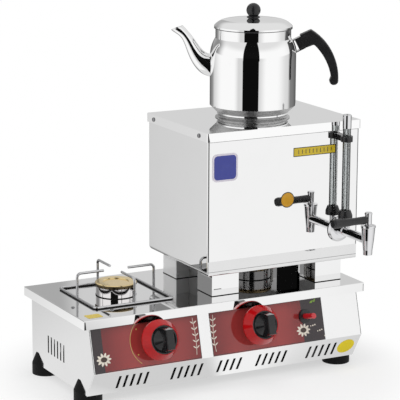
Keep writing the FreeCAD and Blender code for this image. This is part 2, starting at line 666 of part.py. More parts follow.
def make_front_panel():
    """Bent sheet: sloping control face, skirt with slots, flanges top and bottom."""
    body = new_body("front_panel")
    place(body, y="deck_y")
    flat = sketch(body, "YZ_Plane", "bend")
    outline(flat, (
        (f"-{TOP_REACH}", DECK_UNDER),
        ("-knee_reach", "knee_height"),
        ("-skirt_reach", "casing_bottom"),
        ("-(skirt_reach - sheet_wall)", "casing_bottom"),
        ("-(knee_reach - sheet_wall)", "knee_height"),
        (f"-({TOP_REACH} - sheet_wall)", DECK_UNDER),
    ))
    pad(body, flat, "casing_width", both=True)
    flange_width = "casing_width - 2 * (fold_flange + seam)"
    for name, reach, low in (("top", TOP_REACH, f"({DECK_UNDER} - sheet_wall)"),
                             ("bottom", "skirt_reach", "casing_bottom")):
        flat = sketch(body, "YZ_Plane", f"{name}_flange")
        rectangle(flat, f"-({reach} - sheet_wall / 2)", low,
                  f"-({reach} - fold_flange)", f"{low} + sheet_wall")
        pad(body, flat, flange_width, both=True)
    flat = sketch(body, "XZ_Plane", "holes", lift="face_top_reach", up=LIP_BOTTOM,
                  tilt=f"-{TILT}")
    for x in KNOBS.values():
        circle(flat, "valve_radius + seam", x, "-knob_drop")
    circle(flat, "bezel_neck + seam", "igniter_x", "-igniter_drop")
    pocket(body, flat, "sheet_wall * 4", both=True)
    for number_of_group, (count, start) in enumerate(
            ((5, -215.0), (5, -109.2), (4, -18.0), (5, 61.0), (5, 165.2))):
        flat = sketch(body, "XZ_Plane", f"slots{number_of_group}", lift="knee_reach",
                      up="knee_height", tilt=SKIRT_TILT)
        rectangle(flat, f"{start} - slot_width / 2", "-(slot_start + slot_length)",
                  f"{start} + slot_width / 2", "-slot_start")
        slot = pocket(body, flat, "sheet_wall * 6", both=True)
        row_of(body, slot, count, "slot_pitch")


def make_back_panel():
    """Folded rear sheet with the hole for the gas inlet."""
    body = new_body("back_panel")
    place(body, y="deck_y")
    flat = sketch(body, "YZ_Plane", "sheet")
    rectangle(flat, "casing_back - sheet_wall", "casing_bottom", "casing_back", DECK_UNDER)
    pad(body, flat, "casing_width", both=True)
    flange_width = "casing_width - 2 * (fold_flange + seam)"
    for name, low in (("top", f"({DECK_UNDER} - sheet_wall)"), ("bottom", "casing_bottom")):
        flat = sketch(body, "YZ_Plane", f"{name}_flange")
        rectangle(flat, "casing_back - fold_flange", low,
                  "casing_back - sheet_wall / 2", f"{low} + sheet_wall")
        pad(body, flat, flange_width, both=True)
    flat = sketch(body, "XZ_Plane", "inlet", lift="-casing_back")
    circle(flat, "branch_radius + seam", "inlet_x", rail_height())
    pocket(body, flat, "sheet_wall * 4", both=True)


def rail_height():
    """Height of the gas rail, which lies on the valves' axis behind the face."""
    return face_point("0", "knob_drop", "-rail_depth")["z"]


def rail_y():
    """Gas rail behind the origin."""
    return face_point("0", "knob_drop", "-rail_depth")["y"]


def make_bottom_plate():
    """Flat sheet that lies on the panels' lower flanges."""
    body = new_body("bottom_plate")
    place(body, y="deck_y")
    flat = sketch(body, "XY_Plane", "sheet", lift="casing_bottom + sheet_wall")
    side = "(casing_width / 2 - sheet_wall - seam)"
    rectangle(flat, f"-{side}", "-(skirt_reach - 2 * sheet_wall - 2 * seam)", side,
              "casing_back - 2 * sheet_wall - 2 * seam")
    for x in (f"-{FOOT_X}", FOOT_X):
        for y in ("-foot_front", "foot_back"):
            circle(flat, "screw_radius + screw_play", x, y)
    pad(body, flat, "sheet_wall")


def make_control_plate(name, start, length, holes):
    """Thin printed plate on the control face, with holes for what stands on it."""
    body = new_body(name)
    on_face(body, "0", "0")
    flat = sketch(body, "XY_Plane", "plate")
    rectangle(flat, f"-{start}", "-(plate_drop + plate_height)",
              f"-{start} + {length}", "-plate_drop")
    for radius, x, drop in holes:
        circle(flat, radius, x, f"-{drop}")
    pad(body, flat, "plate_wall")


def make_feet():
    """Four rubber feet, each with a horn that stands against the side panel."""
    feet = []
    for side, x in (("-", "left"), ("", "right")):
        for y, spot in (("-foot_front", "front"), ("foot_back", "back")):
            tag = f"foot_{spot}_{x}"
            post = solid("Cylinder", f"{tag}_post", Radius="foot_radius", Height="horn_start")
            horn = solid("Cone", f"{tag}_horn", Radius1="foot_radius", Radius2="horn_radius",
                         Height="horn_top - horn_start")
            place(horn, z="horn_start")
            room = solid("Box", f"{tag}_room", Length="2 * foot_radius",
                         Width="2 * foot_radius", Height="horn_top")
            left = "-foot_inset" if side else "foot_inset - 2 * foot_radius"
            place(room, x=left, y="-foot_radius", z="casing_bottom")
            bore = solid("Cylinder", f"{tag}_bore", Radius="screw_radius + screw_play",
                         Height="horn_top")
            sink = solid("Cylinder", f"{tag}_sink", Radius="screw_head + screw_play",
                         Height="casing_bottom / 2")
            body = joined(f"{tag}_form", post, horn)
            foot = without(tag, body, room, bore, sink)
            place(foot, x=f"{side}{FOOT_X}", y=f"deck_y + {y}")
            feet.append(foot)
    group("rubber_feet", feet)


def leg_screws():
    """Places of the four screws that hold the boiler's legs, from the cooktop's middle."""
    middle = "leg_inset + sheet_wall + leg_tab / 2"
    for x in (f"boiler_x - boiler_width / 2 + {middle}", f"boiler_x + boiler_width / 2 - ({middle})"):
        for y in (f"burner_y - boiler_depth / 2 + {middle}",
                  f"burner_y + boiler_depth / 2 - ({middle})"):
            yield x, y


def make_screw(tag, x, y, z, up=True, length="screw_length"):
    """Pan-head screw whose head rests at a height."""
    shank = solid("Cylinder", f"{tag}_shank", Radius="screw_radius", Height=length)
    head = solid("Cone", f"{tag}_head", Radius1="screw_head", Radius2="screw_head * 0.7",
                 Height="screw_head_height")
    place(shank, z=f"-{length}")
    screw = joined(tag, shank, head)
    if up:
        place(screw, x, y, z)
    else:
        place(screw, x, y, z, axis=(1, 0, 0), angle="180")
    return screw


def make_casing_screws():
    """Cooktop screws, leg screws and foot screws."""
    screws = [
        make_screw("screw_front", "-front_screw_x", "deck_y - front_screw_y", "deck_top"),
        make_screw("screw_side", "-side_screw_x", "deck_y - side_screw_y", "deck_top"),
    ]
    for index, (x, y) in enumerate(leg_screws()):
        screws.append(make_screw(f"screw_leg{index}", x, f"deck_y + {y}", "deck_top + sheet_wall"))
    for index, x in enumerate((f"-{FOOT_X}", FOOT_X)):
        for spot, y in (("front", "-foot_front"), ("back", "foot_back")):
            screws.append(make_screw(f"screw_foot{index}{spot}", x, f"deck_y + {y}",
                                     "casing_bottom / 2", up=False, length="1.4 * screw_length"))
    group("casing_screws", screws)


def make_gas_rail():
    """Pipe behind the valves with a branch to the rear inlet."""
    start = "(left_knob_x - rail_overhang)"
    run = f"(inlet_x + rail_overhang - {start})"
    branch = f"(deck_y + casing_back - ({rail_y()}))"
    outer = []
    inner = []
    for store, radius, side, short in ((outer, "rail_radius", "branch_radius", "0"),
                                       (inner, "rail_bore", "branch_bore", "sheet_wall")):
        tag = "rail_outer" if short == "0" else "rail_inner"
        pipe = solid("Cylinder", f"{tag}_run", Radius=radius, Height=f"{run} - 2 * {short}")
        place(pipe, f"{start} + {short}", rail_y(), rail_height(), axis=(0, 1, 0), angle="90")
        leg = solid("Cylinder", f"{tag}_branch", Radius=side, Height=branch)
        place(leg, "inlet_x", rail_y(), rail_height(), axis=(1, 0, 0), angle="-90")
        store.append(joined(tag, pipe, leg))
    keep("gas_rail", without("gas_rail", outer[0], inner[0]))


def make_gas_inlet():
    """Half-inch male inlet with its hexagon, outside the rear panel."""
    body = new_body("gas_inlet")
    place(body, "inlet_x", "deck_y + casing_back", rail_height(), axis=(1, 0, 0), angle="-90")
    flat = sketch(body, "XY_Plane", "hex")
    hexagon(flat, "inlet_hex")
    pad(body, flat, "inlet_flange")
    flat = sketch(body, "XY_Plane", "pipe", lift="inlet_flange")
    circle(flat, "inlet_radius")
    pad(body, flat, "inlet_length")
    flat = sketch(body, "XY_Plane", "bore")
    circle(flat, "branch_bore")
    pocket(body, flat, "inlet_flange + inlet_length")


def plan_turn(side):
    """Turn of a mixing tube in plan, from straight back, about Z."""
    return f"-atan(({BURNERS[side]} - {KNOBS[side]}) / (burner_y - ({riser_y()})))"


def riser_y():
    """Riser of a valve behind the cooktop's middle."""
    return f"({face_point('0', 'knob_drop', '-riser_setback')['y']} - deck_y)"


def tube_run(side):
    """Distance in plan from a valve's riser to its burner."""
    across = f"({BURNERS[side]} - {KNOBS[side]})"
    back = f"(burner_y - ({riser_y()}))"
    return f"sqrt({across}^2 + {back}^2)"


def make_valve(side):
    """Brass valve: chamber for the press washer, bore for the spindle, riser and jet seat."""
    name = f"valve_{side}"
    core = solid("Cylinder", f"{name}_core", Radius="valve_radius", Height="valve_depth")
    place(core, z="-valve_depth")
    spigot = solid("Cylinder", f"{name}_spigot", Radius="spigot_radius",
                   Height="rail_depth - rail_radius - valve_depth + spigot_radius - seam")
    place(spigot, z="-(rail_depth - rail_radius - seam)")
    chamber = solid("Cylinder", f"{name}_chamber", Radius="chamber_radius",
                    Height="washer_wall + push_travel + 2 * seam")
    place(chamber, z="-(washer_depth + washer_wall + push_travel + seam)")
    bore = solid("Cylinder", f"{name}_bore", Radius="spindle_radius + spindle_play",
                 Height="spindle_tail + push_travel + sheet_wall")
    place(bore, z="-(spindle_tail + push_travel + seam)")
    form = joined(f"{name}_form", core, spigot)
    hollow = without(f"{name}_hollow", form, chamber, bore)
    on_face(hollow, KNOBS[side], "knob_drop")
    spot = face_point(KNOBS[side], "knob_drop", "-riser_setback")
    riser = solid("Cylinder", f"{name}_riser", Radius="riser_radius",
                  Height=f"tube_height + riser_radius - ({spot['z']}) - valve_radius + seam")
    place(riser, spot["x"], spot["y"], f"{spot['z']} + valve_radius - seam")
    keep(name, joined(name, hollow, riser))


def make_jets():
    """Brass jets that blow gas into the mixing tubes."""
    jets = []
    start = "(riser_radius + seam / 3)"
    for side in KNOBS:
        jet = doc.addObject("PartDesign::Body", f"jet_{side}")
        flat = sketch(jet, "XY_Plane", "profile")
        outline(flat, (
            ("0", start), ("jet_radius", start), ("jet_radius", f"{start} + jet_length / 2"),
            ("jet_radius / 2", f"{start} + jet_length"), ("0", f"{start} + jet_length"),
        ))
        revolve(jet, flat)
        place(jet, KNOBS[side], f"deck_y + {riser_y()}", "tube_height",
              axis=(0, 0, 1), angle=plan_turn(side))
        jets.append(jet)
    group("gas_jets", jets)


def make_mixing_tube(side):
    """Tube that draws in air at its bell mouth and turns up into the burner."""
    name = f"mixing_tube_{side}"
    start = "(riser_radius + jet_length + jet_gap)"
    run = tube_run(side)
    rise = "(deck_top - neck_depth - tube_height)"
    layers = []
    for tag, off, over in (("outer", "0", "0"), ("inner", "tube_wall", "sheet_wall")):
        bell = solid("Cone", f"{name}_{tag}_bell", Radius1=f"tube_mouth - {off}",
                     Radius2=f"tube_radius - {off}", Height="mouth_length")
        place(bell, "0", start, "0", axis=(1, 0, 0), angle="-90")
        pipe = solid("Cylinder", f"{name}_{tag}_pipe", Radius=f"tube_radius - {off}",
                     Height=f"{run} - {start} - mouth_length")
        place(pipe, "0", f"{start} + mouth_length", "0", axis=(1, 0, 0), angle="-90")
        bend = solid("Sphere", f"{name}_{tag}_bend", Radius=f"tube_radius - {off}")
        place(bend, "0", run, "0")
        rising = solid("Cylinder", f"{name}_{tag}_rise", Radius=f"tube_radius - {off}",
                       Height=f"{rise} + {over}")
        place(rising, "0", run, "0")
        layers.append(joined(f"{name}_{tag}", bell, pipe, bend, rising))
    tube = without(name, *layers)
    place(tube, KNOBS[side], f"deck_y + {riser_y()}", "tube_height",
          axis=(0, 0, 1), angle=plan_turn(side))
    keep(name, tube)


def make_burner(side):
    """Burner cup through the cooktop, and its brass cap with ports."""
    cup = turned(
        f"burner_cup_{side}",
        ("neck_bore", "-neck_depth"), ("neck_radius", "-neck_depth"), ("neck_radius", "0"),
        ("cup_radius", "0"), ("cup_radius", "cup_height"),
        ("cup_radius - cup_wall", "cup_height"), ("cup_radius - cup_wall", "cup_wall"),
        ("neck_bore", "cup_wall"),
    )
    place(cup, BURNERS[side], BURNER_Y, "deck_top")
    low = "(cap_top - cap_wall)"
    cap = turned(
        f"burner_cap_{side}",
        ("0", low), ("skirt_radius - skirt_wall", low),
        ("skirt_radius - skirt_wall", "cup_height - skirt_drop"),
        ("skirt_radius", "cup_height - skirt_drop"), ("skirt_radius", "cup_height"),
        ("port_ring", "cup_height"), ("port_ring", low),
        ("cap_radius", f"{low} + 0.5"), ("cap_radius", "cap_top - 1.2"),
        ("cap_radius - 2", "cap_top"), ("cap_dish", "cap_top"),
        ("cap_dish - 1", "cap_top - cap_dish_depth"), ("0", "cap_top - cap_dish_depth"),
    )
    flat = sketch(cap, "XY_Plane", "port", lift="cup_height")
    rectangle(flat, "skirt_radius - skirt_wall - 1", "-port_width / 2",
              "cap_radius + 1", "port_width / 2")
    port = pocket(cap, flat, f"{low} - cup_height")
    round_of(cap, port, "port_count")
    place(cap, BURNERS[side], BURNER_Y, "deck_top")


def make_pot_support():
    """Wire square on the cooktop with four arms that rise and reach inward."""
    body = new_body("pot_support")
    place(body, BURNERS["left"], BURNER_Y, "deck_top + wire_radius")
    half = "(support_side / 2)"
    edge = f"({half} - support_corner)"
    path = sketch(body, "XY_Plane", "square")
    turn = "support_corner"
    outline(path, (
        (f"-{edge}", f"-{half}"), (edge, f"-{half}", turn), (half, f"-{edge}"),
        (half, edge, turn), (edge, half), (f"-{edge}", half, turn),
        (f"-{half}", edge), (f"-{half}", f"-{edge}", turn),
    ))
    ring = sketch(body, "YZ_Plane", "square_wire")
    circle(ring, "wire_radius", f"-{half}", "0")
    frame = body.newObject("PartDesign::AdditivePipe", "pot_support_square")
    frame.Profile = ring
    frame.Spine = (path, [f"Edge{n}" for n in range(1, 9)])
    frame.Transition = "Round corner"
    top = "(support_top - 2 * wire_radius)"
    route = sketch(body, "XZ_Plane", "arm")
    spots = ((half, "0"), (half, f"{top} - support_bend"), (f"{half} - support_bend", top),
             ("support_reach", top))
    points = [FreeCAD.Vector(number(x), number(z), 0) for x, z in spots]
    post = route.addGeometry(Part.LineSegment(points[0], points[1]))
    bend = route.addGeometry(arc_edge(points[1], points[2], number("support_bend")))
    arm = route.addGeometry(Part.LineSegment(points[2], points[3]))
    route.addConstraint(Sketcher.Constraint("Coincident", post, 2, bend, 1))
    route.addConstraint(Sketcher.Constraint("Coincident", bend, 2, arm, 1))
    for piece, end, spot in ((post, 1, 0), (post, 2, 1), (arm, 1, 2), (arm, 2, 3)):
        tie(route, piece, end, *spots[spot])
    bend_rule = route.addConstraint(Sketcher.Constraint("Radius", bend, number("support_bend")))
    route.setExpression(f"Constraints[{bend_rule}]", bound("support_bend"))
    ring = sketch(body, "XY_Plane", "arm_wire")
    circle(ring, "wire_radius", half, "0")
    wire = body.newObject("PartDesign::AdditivePipe", "pot_support_arm")
    wire.Profile = ring
    wire.Spine = (route, ["Edge1", "Edge2", "Edge3"])
    round_of(body, wire, "4")


def make_knob(side):
    """Press washer, spindle, red dial and black grip of one knob."""
    washer = turned(
        f"knob_washer_{side}",
        ("spindle_radius + spindle_play", "-(washer_depth + washer_wall)"),
        ("washer_radius", "-(washer_depth + washer_wall)"),
        ("washer_radius", "-washer_depth"),
        ("spindle_radius + spindle_play", "-washer_depth"),
    )
    spindle = turned(
        f"spindle_{side}", ("0", "-spindle_tail"), ("spindle_radius", "-spindle_tail"),
        ("spindle_radius", "spindle_end"), ("0", "spindle_end"),
    )
    seat = "(dial_front - grip_seat)"
    web = f"({seat} - dial_wall)"
    dial = turned(
        f"dial_{side}",
        ("hub_radius + seam", web), ("grip_radius - dial_wall", web),
        ("dial_radius - dial_wall", "dial_back"), ("dial_radius", "dial_back"),
        ("dial_radius", "dial_back + dial_edge"), ("dial_lip", "dial_front"),
        ("grip_radius + seam", "dial_front"), ("grip_radius + seam", seat),
        ("hub_radius + seam", seat),
    )
    grip = new_body(f"grip_{side}")
    flat = sketch(grip, "XZ_Plane", "profile")
    rim = "(dial_front - grip_sunk)"
    inner = "(grip_radius - grip_rim)"
    outline(flat, (
        ("spindle_radius + spindle_play", "hub_back"), ("hub_radius", "hub_back"),
        ("hub_radius", seat), ("grip_radius", seat), ("grip_radius", rim), (inner, rim),
        (f"{inner} - groove_width / 2", f"{rim} - grip_groove"),
        (f"{inner} - groove_width", rim), ("cone_radius", f"{rim} + cone_height"),
        ("0", f"{rim} + cone_height"), ("0", "spindle_end + seam"),
        ("spindle_radius + spindle_play", "spindle_end + seam"),
    ))
    revolve(grip, flat)
    flat = sketch(grip, "YZ_Plane", "blade")
    foot = f"({rim} - grip_groove)"
    outline(flat, (
        ("-blade_root", foot), ("blade_root", foot), ("blade_tip", "grip_front"),
        ("-blade_tip", "grip_front"),
    ))
    blade = pad(grip, flat, "blade_wall", both=True)
    fillet(grip, blade, "blade_round", lambda e: level(e, number("grip_front")))
    for piece in (washer, spindle, dial, grip):
        on_face(piece, KNOBS[side], "knob_drop")


def make_igniter():
    """Piezo unit, black collar, red button and the electrode by the burner."""
    bore = "(button_radius + button_play)"
    bezel = turned(
        "igniter_bezel",
        (bore, "-bezel_depth"), ("bezel_neck", "-bezel_depth"), ("bezel_neck", "plate_wall"),
        ("bezel_radius", "plate_wall"), ("bezel_radius", "plate_wall + bezel_wall - 1"),
        ("bezel_radius - 1.5", "plate_wall + bezel_wall"), (bore, "plate_wall + bezel_wall"),
    )
    body = turned(
        "igniter_body",
        ("0", "-piezo_depth"), ("piezo_radius", "-piezo_depth"), ("piezo_radius", "-bezel_depth"),
        (bore, "-bezel_depth"), (bore, "-(button_tail + button_travel + seam)"),
        ("0", "-(button_tail + button_travel + seam)"),
    )
    button = turned(
        "igniter_button",
        ("0", "-button_tail"), ("button_radius", "-button_tail"),
        ("button_radius", "button_end - 1.5", "1.5"), ("button_radius - 1.5", "button_end"),
        ("0", "button_end"),
    )
    for piece in (bezel, body, button):
        on_face(piece, "igniter_x", "igniter_drop")
    electrode = turned(
        "electrode",
        ("0", "-electrode_drop"), ("electrode_radius", "-electrode_drop"),
        ("electrode_radius", "electrode_top"), ("pin_radius", "electrode_top + 1"),
        ("pin_radius", "electrode_top + pin_length"), ("0", "electrode_top + pin_length"),
    )
    place(electrode, "boiler_x + electrode_gap", BURNER_Y, "deck_top")


def make_boiler_body():
    """Single-walled water vessel with a rounded lower edge and the tap's hole."""
    body = new_body("boiler_body")
    place(body, "boiler_x", BURNER_Y, "boiler_bottom")
    half_x = "(boiler_width / 2)"
    half_y = "(boiler_depth / 2)"
    height = f"({LID_UNDER} - boiler_bottom)"
    flat = sketch(body, "XY_Plane", "outside")
    rectangle(flat, f"-{half_x}", f"-{half_y}", half_x, half_y)
    block = pad(body, flat, height)
    folded = fillet(body, block, "boiler_corner", upright)
    rounded = fillet(body, folded, "boiler_fold", lambda e: level(e, 0.0))
    doc.recompute()
    top = max(enumerate(rounded.Shape.Faces, 1), key=lambda f: f[1].CenterOfMass.z)[0]
    shell = body.newObject("PartDesign::Thickness", "boiler_shell")
    shell.Base = (rounded, [f"Face{top}"])
    shell.Reversed = True
    set_size(shell, Value="sheet_wall")
    flat = sketch(body, "XZ_Plane", "tap_hole", lift=half_y)
    circle(flat, "shank_radius + seam", "tap_x - boiler_x", "tap_height - boiler_bottom")
    pocket(body, flat, "sheet_wall * 4", both=True)
    flat = sketch(body, "YZ_Plane", "lid_screw_holes")
    for y in ("-lid_screw_front - burner_y", "lid_screw_back - burner_y"):
        circle(flat, "screw_radius / 2 + screw_play", y, "lid_top - lid_screw_drop - boiler_bottom")
    pocket(body, flat, "boiler_width + 20", both=True)


def make_boiler_lid():
    """Folded lid with a drawn neck that carries the teapot."""
    body = new_body("boiler_lid")
    place(body, "boiler_x", BURNER_Y, "lid_top - lid_lip")
    half_x = "(boiler_width / 2 + lid_overhang)"
    half_y = "(boiler_depth / 2 + lid_overhang)"
    flat = sketch(body, "XY_Plane", "outside")
    rectangle(flat, f"-{half_x}", f"-{half_y}", half_x, half_y)
    block = pad(body, flat, "lid_lip")
    fillet(body, block, "boiler_corner", upright)
    flat = sketch(body, "XY_Plane", "inside")
    rectangle(flat, f"-({half_x} - sheet_wall)", f"-({half_y} - sheet_wall)",
              f"{half_x} - sheet_wall", f"{half_y} - sheet_wall")
    pocket(body, flat, "lid_lip - sheet_wall")
    spot = ("teapot_x - boiler_x", "teapot_y - burner_y")
    flat = sketch(body, "XY_Plane", "neck", lift="lid_lip - sheet_wall")
    circle(flat, "collar_radius", *spot)
    pad(body, flat, "sheet_wall + collar_height")
    flat = sketch(body, "XY_Plane", "hole")
    circle(flat, "collar_radius - sheet_wall", *spot)
    pocket(body, flat, "lid_lip + collar_height + 1")
    flat = sketch(body, "YZ_Plane", "screw_holes")
    for y in ("-lid_screw_front - burner_y", "lid_screw_back - burner_y"):
        circle(flat, "screw_radius / 2 + screw_play", y, "lid_lip - lid_screw_drop")
    pocket(body, flat, "boiler_width + 20", both=True)


def make_leg(name, x_sign, y_sign, depth):
    """Channel leg, folded on three sides and open inward, with a foot tab for its screw."""
    body = new_body(name)
    inward_x = "1" if x_sign == "-" else "-1"
    inward_y = "1" if y_sign == "-" else "-1"
    x = f"boiler_x {x_sign or '+'} (boiler_width / 2 - leg_inset)"
    y = f"deck_y + burner_y {y_sign or '+'} (boiler_depth / 2 - leg_inset)"
    place(body, x, y, "deck_top")
    flat = sketch(body, "XY_Plane", "channel")
    along_x = f"{inward_x} * leg_width"
    along_y = f"{inward_y} * {depth}"
    wall_x = f"{inward_x} * sheet_wall"
    wall_y = f"{inward_y} * sheet_wall"
    near_wall = f"{inward_x} * (leg_width - sheet_wall)"
    outline(flat, (("0", "0"), (along_x, "0"), (along_x, along_y), (near_wall, along_y),
                   (near_wall, wall_y), (wall_x, wall_y), (wall_x, along_y), ("0", along_y)))
    pad(body, flat, "boiler_bottom - deck_top")
    flat = sketch(body, "XY_Plane", "tab")
    far_x = f"{inward_x} * (sheet_wall + leg_tab)"
    far_y = f"{inward_y} * (sheet_wall + leg_tab)"
    near_x = f"{inward_x} * sheet_wall / 2"
    near_y = f"{inward_y} * sheet_wall / 2"
    outline(flat, ((near_x, near_y), (far_x, near_y), (far_x, far_y), (near_x, far_y)))
    circle(flat, "screw_radius + screw_play", f"{inward_x} * (sheet_wall + leg_tab / 2)",
           f"{inward_y} * (sheet_wall + leg_tab / 2)")
    pad(body, flat, "sheet_wall")


def make_lid_screws():
    """Small screws through the lid's side lips into the boiler."""
    screws = []
    reach = "(boiler_width / 2 + lid_overhang)"
    for side, sign, angle in (("left", "-", "-90"), ("right", "+", "90")):
        for spot, y in (("front", "-lid_screw_front"), ("back", "lid_screw_back")):
            tag = f"lid_screw_{side}_{spot}"
            shank = solid("Cylinder", f"{tag}_shank", Radius="screw_radius / 2",
                          Height="lid_screw_length")
            head = solid("Cone", f"{tag}_head", Radius1="screw_head * 0.8",
                         Radius2="screw_head * 0.5", Height="screw_head_height")
            place(shank, z="-lid_screw_length")
            screw = joined(tag, shank, head)
            place(screw, f"boiler_x {sign} {reach}", f"deck_y + {y}",
                  "lid_top - lid_screw_drop", axis=(0, 1, 0), angle=angle)
            screws.append(screw)
    group("lid_screws", screws)


def make_tap():
    """Tap body, shield, seals, back nut, turning plug, handle and crown screw."""
    panel = f"(deck_y + {PANEL_Y})"
    cup_y = f"({panel} - tap_reach)"
    flange = "(seal_wall + escutcheon_wall)"
    barrel = solid("Cylinder", "tap_barrel", Radius="shank_radius",
                   Height="tap_reach + shank_tail")
    place(barrel, "tap_x", f"{panel} + shank_tail", "tap_height", axis=(1, 0, 0), angle="90")
    collar = solid("Cylinder", "tap_collar", Radius="tap_collar_radius", Height="tap_collar_length")
    place(collar, "tap_x", f"{panel} - {flange}", "tap_height", axis=(1, 0, 0), angle="90")
    nipple = solid("Cylinder", "tap_nipple", Radius="nipple_radius",
                   Height=f"{GAUGE_SEAT} - seam")
    place(nipple, "tap_x", f"{panel} - gauge_reach", "tap_height")
    cup = doc.addObject("PartDesign::Body", "tap_cup")
    flat = sketch(cup, "XZ_Plane", "profile")
    rim_low = "(cup_rim_top - cup_rim_wall)"
    outline(flat, (
        ("0", "-spout_drop"), ("spout_radius", "-spout_drop"),
        ("spout_radius + 0.5", "-spout_drop + spout_lip"), ("waist_radius", "cup_waist"),
        ("cup_rim_radius - 0.7", rim_low), ("cup_rim_radius", f"{rim_low} + 0.7"),
        ("cup_rim_radius", "cup_rim_top"), ("0", "cup_rim_top"),
    ))
    revolve(cup, flat)
    place(cup, "tap_x", cup_y, "tap_height")
    floor = "(cup_rim_top - plug_length - seam)"
    plug_room = solid("Cylinder", "tap_plug_room", Radius="plug_radius + plug_play",
                      Height=f"cup_rim_top - {floor} + seam")
    place(plug_room, "tap_x", cup_y, f"tap_height + {floor}")
    outlet = solid("Cylinder", "tap_outlet", Radius="shank_bore",
                   Height=f"{floor} + spout_drop + 2 * seam")
    place(outlet, "tap_x", cup_y, "tap_height - spout_drop - seam")
    way = solid("Cylinder", "tap_way", Radius="shank_bore", Height="tap_reach + shank_tail")
    place(way, "tap_x", f"{panel} + shank_tail + seam", "tap_height", axis=(1, 0, 0), angle="90")
    gauge_way = solid("Cylinder", "tap_gauge_way", Radius="nipple_radius / 2", Height=GAUGE_SEAT)
    place(gauge_way, "tap_x", f"{panel} - gauge_reach", "tap_height")
    form = joined("tap_form", barrel, collar, nipple, cup)
    keep("tap_body", without("tap_body", form, plug_room, outlet, way, gauge_way))

    shield = turned(
        "tap_escutcheon",
        ("shank_radius + seam", "0"), ("escutcheon_radius", "0"),
        ("escutcheon_radius - 2.5", "escutcheon_wall * 0.7"),
        ("escutcheon_radius - 7", "escutcheon_wall"), ("shank_radius + seam", "escutcheon_wall"),
    )
    place(shield, "tap_x", f"{panel} - seal_wall", "tap_height", axis=(1, 0, 0), angle="90")
    seals = []
    for tag, y in (("seal_outside", panel), ("seal_inside", f"{panel} + sheet_wall + seal_wall")):
        ring = solid("Cylinder", f"{tag}_ring", Radius="seal_radius", Height="seal_wall")
        bore = solid("Cylinder", f"{tag}_bore", Radius="shank_radius + seam", Height="seal_wall")
        seal = without(tag, ring, bore)
        place(seal, "tap_x", y, "tap_height", axis=(1, 0, 0), angle="90")
        seals.append(seal)
    group("tap_seals", seals)
    nut = new_body("tap_backnut")
    flat = sketch(nut, "XY_Plane", "hex")
    hexagon(flat, "nut_flats")
    circle(flat, "shank_radius + seam / 3")
    pad(nut, flat, "nut_wall")
    place(nut, "tap_x", f"{panel} + sheet_wall + seal_wall", "tap_height",
          axis=(1, 0, 0), angle="-90")
    make_tap_plug(cup_y)


def make_tap_plug(cup_y):
    """Turning part of the tap, measured from the rim of its cup."""
    rim = "tap_height + cup_rim_top"
    plug = turned(
        "tap_plug",
        ("0", "-plug_length"), ("plug_radius", "-plug_length"), ("plug_radius", "0"),
        ("head_radius - 1", "head_low"), ("head_radius", "head_low + 1"),
        ("head_radius", "head_length"), ("0", "head_length"),
    )
    place(plug, "tap_x", cup_y, rim)
    axis_drop = "cup_rim_top"
    flat = sketch(plug, "XY_Plane", "well", lift="-plug_length")
    circle(flat, "shank_bore")
    pocket(plug, flat, f"plug_length - {axis_drop} + shank_bore")
    flat = sketch(plug, "YZ_Plane", "port")
    circle(flat, "port_radius", "0", "-plug_length + shank_bore")
    pocket(plug, flat, "plug_radius + 2")
    flat = sketch(plug, "YZ_Plane", "stem_hole")
    circle(flat, "stem_radius + stem_play", "0", "handle_height")
    pocket(plug, flat, "head_radius + 2", along=False)

    handle = turned(
        "tap_handle",
        ("0", "head_radius / 2"), ("lever_root - 1", "head_radius / 2"),
        ("lever_root", "head_radius + 2"), ("lever_root - 0.5", "handle_length * 0.4"),
        ("handle_end_radius", "handle_length - 4"),
        ("handle_end_radius - 1.5", "handle_length"), ("0", "handle_length"),
    )
    flat = sketch(handle, "YZ_Plane", "saddle")
    circle(flat, "head_radius + seam / 3")
    pocket(handle, flat, "4 * lever_root", both=True)
    flat = sketch(handle, "XY_Plane", "stem", lift="seam")
    circle(flat, "stem_radius")
    pad(handle, flat, "head_radius + 1")
    place(handle, "tap_x", cup_y, f"{rim} + handle_height", axis=(0, 1, 0), angle="-90")
    crown = turned(
        "tap_crown",
        ("0", "head_length"), ("crown_radius", "head_length"),
        ("crown_radius", "head_length + crown_wall - 1"),
        ("crown_radius - 1", "head_length + crown_wall"), ("0", "head_length + crown_wall"),
    )
    place(crown, "tap_x", cup_y, rim)


